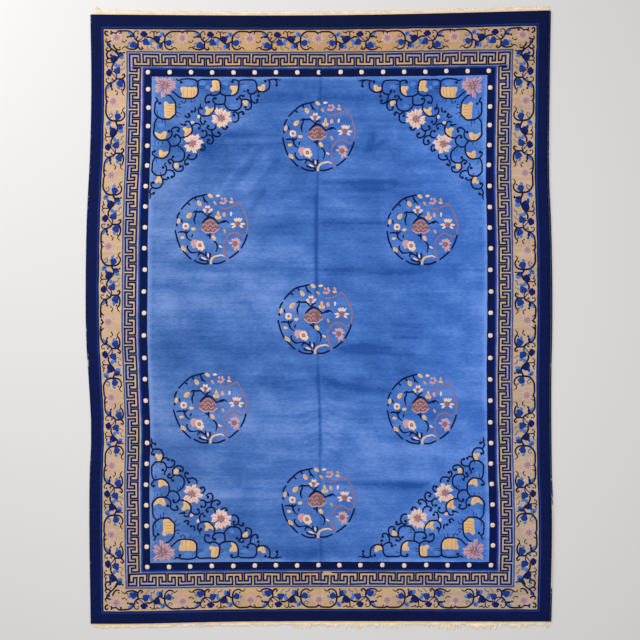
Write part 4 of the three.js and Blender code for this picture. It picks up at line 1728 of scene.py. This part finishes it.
# %% Roundel leaves
# Each row: base, tip and width.
GOLD_BLADES = [
    ((71, 6.5), (84.5, 15), 9), ((58.5, 33), (50, 18), 10), ((27, 58), (40, 44), 11),
    ((10, 70), (13, 54), 8), ((36, 79.5), (49, 78.5), 8), ((14, 97), (27, 97), 7),
    ((29, 127), (17, 113), 9), ((81, 90), (90, 104), 9.5),
]
for blade in GOLD_BLADES:
    roundel.blade("scroll_gold", *blade)
for tip in [(94, 38), (87, 49.5), (101, 50)]:
    roundel.blade("scroll_gold", (94.5, 59), tip, 7)
for base, tip in [((54, 28), (53, 20)), ((31, 53), (37, 47)), ((94, 56), (94, 45)), ((20, 116), (25, 122))]:
    roundel.blade("scroll_amber", base, tip, 4, 3)
each(roundel.blade, [
    ("scroll_amber", (83, 20), (91.5, 30.5), 6),
    ("scroll_amber", (105, 77), (110.5, 89), 5.5),
    ("scroll_gold", (115, 22), (128, 24), 5.5),
    ("scroll_amber", (119, 12), (124, 22), 5.5),
    ("scroll_cream", (87, 11), (99.5, 10), 6, 0, -1),
    ("scroll_cream", (122, 41), (120.5, 54), 5.5),
    ("scroll_cream", (94, 112), (105, 118), 4.5),
    ("scroll_cream", (75, 139), (73.5, 127), 4),
    ("scroll_cream", (73.5, 143.5), (58, 135.5), 4.5),
])
each(roundel.bough, [
    ("scroll_gold", [(80, 151), (80, 145), (83, 139), (89, 135), (97, 133.5)], 4.6, (1, 1, 0.8)),
    ("scroll_cream", [(92, 134), (99, 132.5), (105, 133.5), (108, 136)], 3.2, (1, 1, 0.5), 1),
])
print("shapes with leaves:", len(roundel.shapes))

# %% Roundel flowers
roundel.shape(
    "roundel_peony",
    [(77, 57), (88, 61.5), (93, 69), (97, 78), (90, 82), (85, 86.5), (77, 84), (68, 87), (62, 82),
     (56.5, 77), (60, 69), (67, 61.5)],
)
roundel.bough(
    "scroll_stems", [(60, 67), (64, 62), (70, 56.5), (76, 54), (83, 56), (89, 60.5), (94, 66)], 4.2,
    (0.5, 1.2, 0.5), 1,
)
PEONY_FOLDS = [
    [(61, 72), (67, 68), (71, 73), (77, 67), (83, 73), (88, 68), (93, 73)],
    [(63, 80), (69, 76), (73, 81), (77, 75), (82, 81), (87, 77), (91, 80)], [(68, 65), (77, 60), (86, 65)],
]
for points in PEONY_FOLDS:
    roundel.bough("scroll_rose", points, 1.5, layer=2)
for middle in ((67, 73), (77, 71), (87, 73), (70, 82), (84, 82), (77, 64)):
    roundel.dot("scroll_mauve", middle, 1.8, 2)
roundel.bough(
    "scroll_rose", [(58, 78), (63, 82.5), (69, 86), (77, 85), (85, 86), (91, 82), (96.5, 78)], 2.6,
    (1, 1, 1), 1,
)
each(roundel.star, [
    ("scroll_cream", (72, 41), [(60, 38), (68, 28.5), (76, 28.5), (85, 38)], 6.5),
    ("scroll_cream", (71, 40), [(64, 45), (79, 45)], 5),
    ("scroll_rose", (46, 109), [(37, 105), (41, 100), (48, 99), (37, 112), (43, 120), (52, 101)], 8),
    ("scroll_cream", (56.5, 112),
     [(47, 108), (53, 101.5), (61, 102), (66, 109), (68, 120), (63, 125), (54, 123), (48, 117)], 8.5, 1),
    ("scroll_rose", (104, 20), [(99, 12.5), (110, 12.5), (96, 27), (109, 27), (114, 20), (104, 29)], 6),
    ("scroll_cream", (135, 68),
     [(126.5, 55), (132, 53.5), (138.5, 53.5), (145.5, 55), (117.5, 68.5), (153, 69), (121, 77.5),
      (148, 78)],
     5.6),
    ("roundel_pink", (130, 109),
     [(114, 107), (121, 97.5), (127.5, 96), (134, 95), (139.5, 99), (144, 105.5), (141, 117), (139, 125),
      (130, 127), (122, 117)],
     6),
])
each(roundel.dot, [
    ("scroll_mauve", (71.5, 39), 4.4, 2),
    ("scroll_cream", (26.5, 73), 7.6),
    ("scroll_mauve", (26.5, 73), 3.2, 2),
    ("scroll_rose", (46, 109), 6),
    ("scroll_mauve", (56.5, 112), 4.4, 3),
    ("scroll_amber", (56.5, 112), 1.8, 5),
    ("scroll_mauve", (104, 20), 3, 2),
    ("scroll_mauve", (135, 68), 6.2, 2, 0.95),
    ("scroll_mauve", (129, 109), 6, 2),
])
BUD = [(103, 50), (104, 45), (107, 43), (110.5, 47), (110, 53), (106, 54)]
roundel.shape("roundel_pink", BUD, fine=False)

ROUNDEL_PLACES = [(-6, 1084), (-636, 535), (619, 531), (-24, 3), (-656, -523), (613, -529), (-17, -1083)]
for place in ROUNDEL_PLACES:
    knot(roundel, place, out=(0, -1))
print("roundel shapes:", len(roundel.shapes), "in", len(ROUNDEL_PLACES), "places")

# %% [markdown]
# ## Dyes
#
# All shapes of one dye become one piece, laid on the rug and lifted over its
# folds. Each dye has the same wool finish in its own colour.

# %% Knot every dye
DYES = {
    "key_line": (14, 12, 36),
    "key_shadow": (96, 106, 168),
    "pearl_ring": (6, 12, 50),
    "pearls": (218, 192, 176),
    "vine_stems": (12, 14, 44),
    "vine_curls": (74, 84, 130),
    "vine_navy": (8, 22, 82),
    "vine_sapphire": (18, 50, 124),
    "vine_light_blue": (72, 106, 164),
    "vine_lilac": (184, 152, 152),
    "vine_mauve": (138, 106, 124),
    "vine_olive": (122, 112, 84),
    "scroll_stems": (3, 13, 56),
    "scroll_hatches": (26, 50, 112),
    "scroll_tint": (74, 115, 184),
    "scroll_gold": (202, 166, 119),
    "scroll_amber": (190, 138, 92),
    "scroll_cream": (212, 182, 164),
    "scroll_rose": (176, 140, 152),
    "scroll_mauve": (126, 94, 108),
    "roundel_bough": (126, 98, 118),
    "roundel_peony": (118, 82, 84),
    "roundel_pink": (184, 144, 150),
}
HAND_WAVER = 1.1


def hand_waver(across, along):
    """The small unevenness of hand work, in mm."""
    dx = np.sin(along / 47 + across / 210) + np.sin(along / 19 - across / 61) * 0.5
    dy = np.sin(across / 53 - along / 190) + np.sin(across / 23 + along / 71) * 0.5
    return dx * HAND_WAVER, dy * HAND_WAVER


for dye, colour in DYES.items():
    points, triangles = heap(knotted[dye])
    shift_x, shift_y = hand_waver(points[:, 0], points[:, 1])
    across_mm, along_mm = points[:, 0] + shift_x, points[:, 1] + shift_y
    x, y = lay(across_mm, along_mm)
    z = pile_height(across_mm, along_mm) + points[:, 2]
    places = np.column_stack([across_mm, along_mm, points[:, 2]])
    finish = wool_finish(dye + "_wool", dyed(*colour))
    make_piece(dye, np.column_stack([x, y, z]), triangles, places, finish)

# %% [markdown]
# ## The floor and the light
#
# A plain pale floor and large soft lights. One light is stronger and lower,
# so that the folds show.

# %% Floor and lights
FLOOR_WIDTH = 30
FLOOR_DROP = 0.0005
AIR_STRENGTH = 0.35
bpy.ops.mesh.primitive_plane_add(size=FLOOR_WIDTH, location=(0, 0, -FLOOR_DROP))
floor = bpy.context.object
floor.name = "studio_floor"
floor_finish = Bench("pale_floor")
floor_finish.shader.inputs["Base Color"].default_value = (0.62, 0.61, 0.6, 1)
floor_finish.shader.inputs["Roughness"].default_value = 0.9
floor.data.materials.append(floor_finish.material)

# Each row: name, place, size and watts.
LIGHTS = [
    ("soft_light_above", (0.0, 0.0, 6.0), 5.0, 300),
    ("window_light_low", (-4.5, 3.6, 2.6), 2.2, 200),
]
for name, place, size, watts in LIGHTS:
    bpy.ops.object.light_add(type="AREA", location=place)
    light = bpy.context.object
    light.name = name
    light.data.size = size
    light.data.energy = watts
    light.rotation_euler = (-light.location).to_track_quat("-Z", "Y").to_euler()
world = bpy.data.worlds.new("studio_air")
bpy.context.scene.world = world
world.use_nodes = True
world.node_tree.nodes["Background"].inputs["Color"].default_value = (1, 1, 1, 1)
world.node_tree.nodes["Background"].inputs["Strength"].default_value = AIR_STRENGTH
print("lights:", len(LIGHTS))
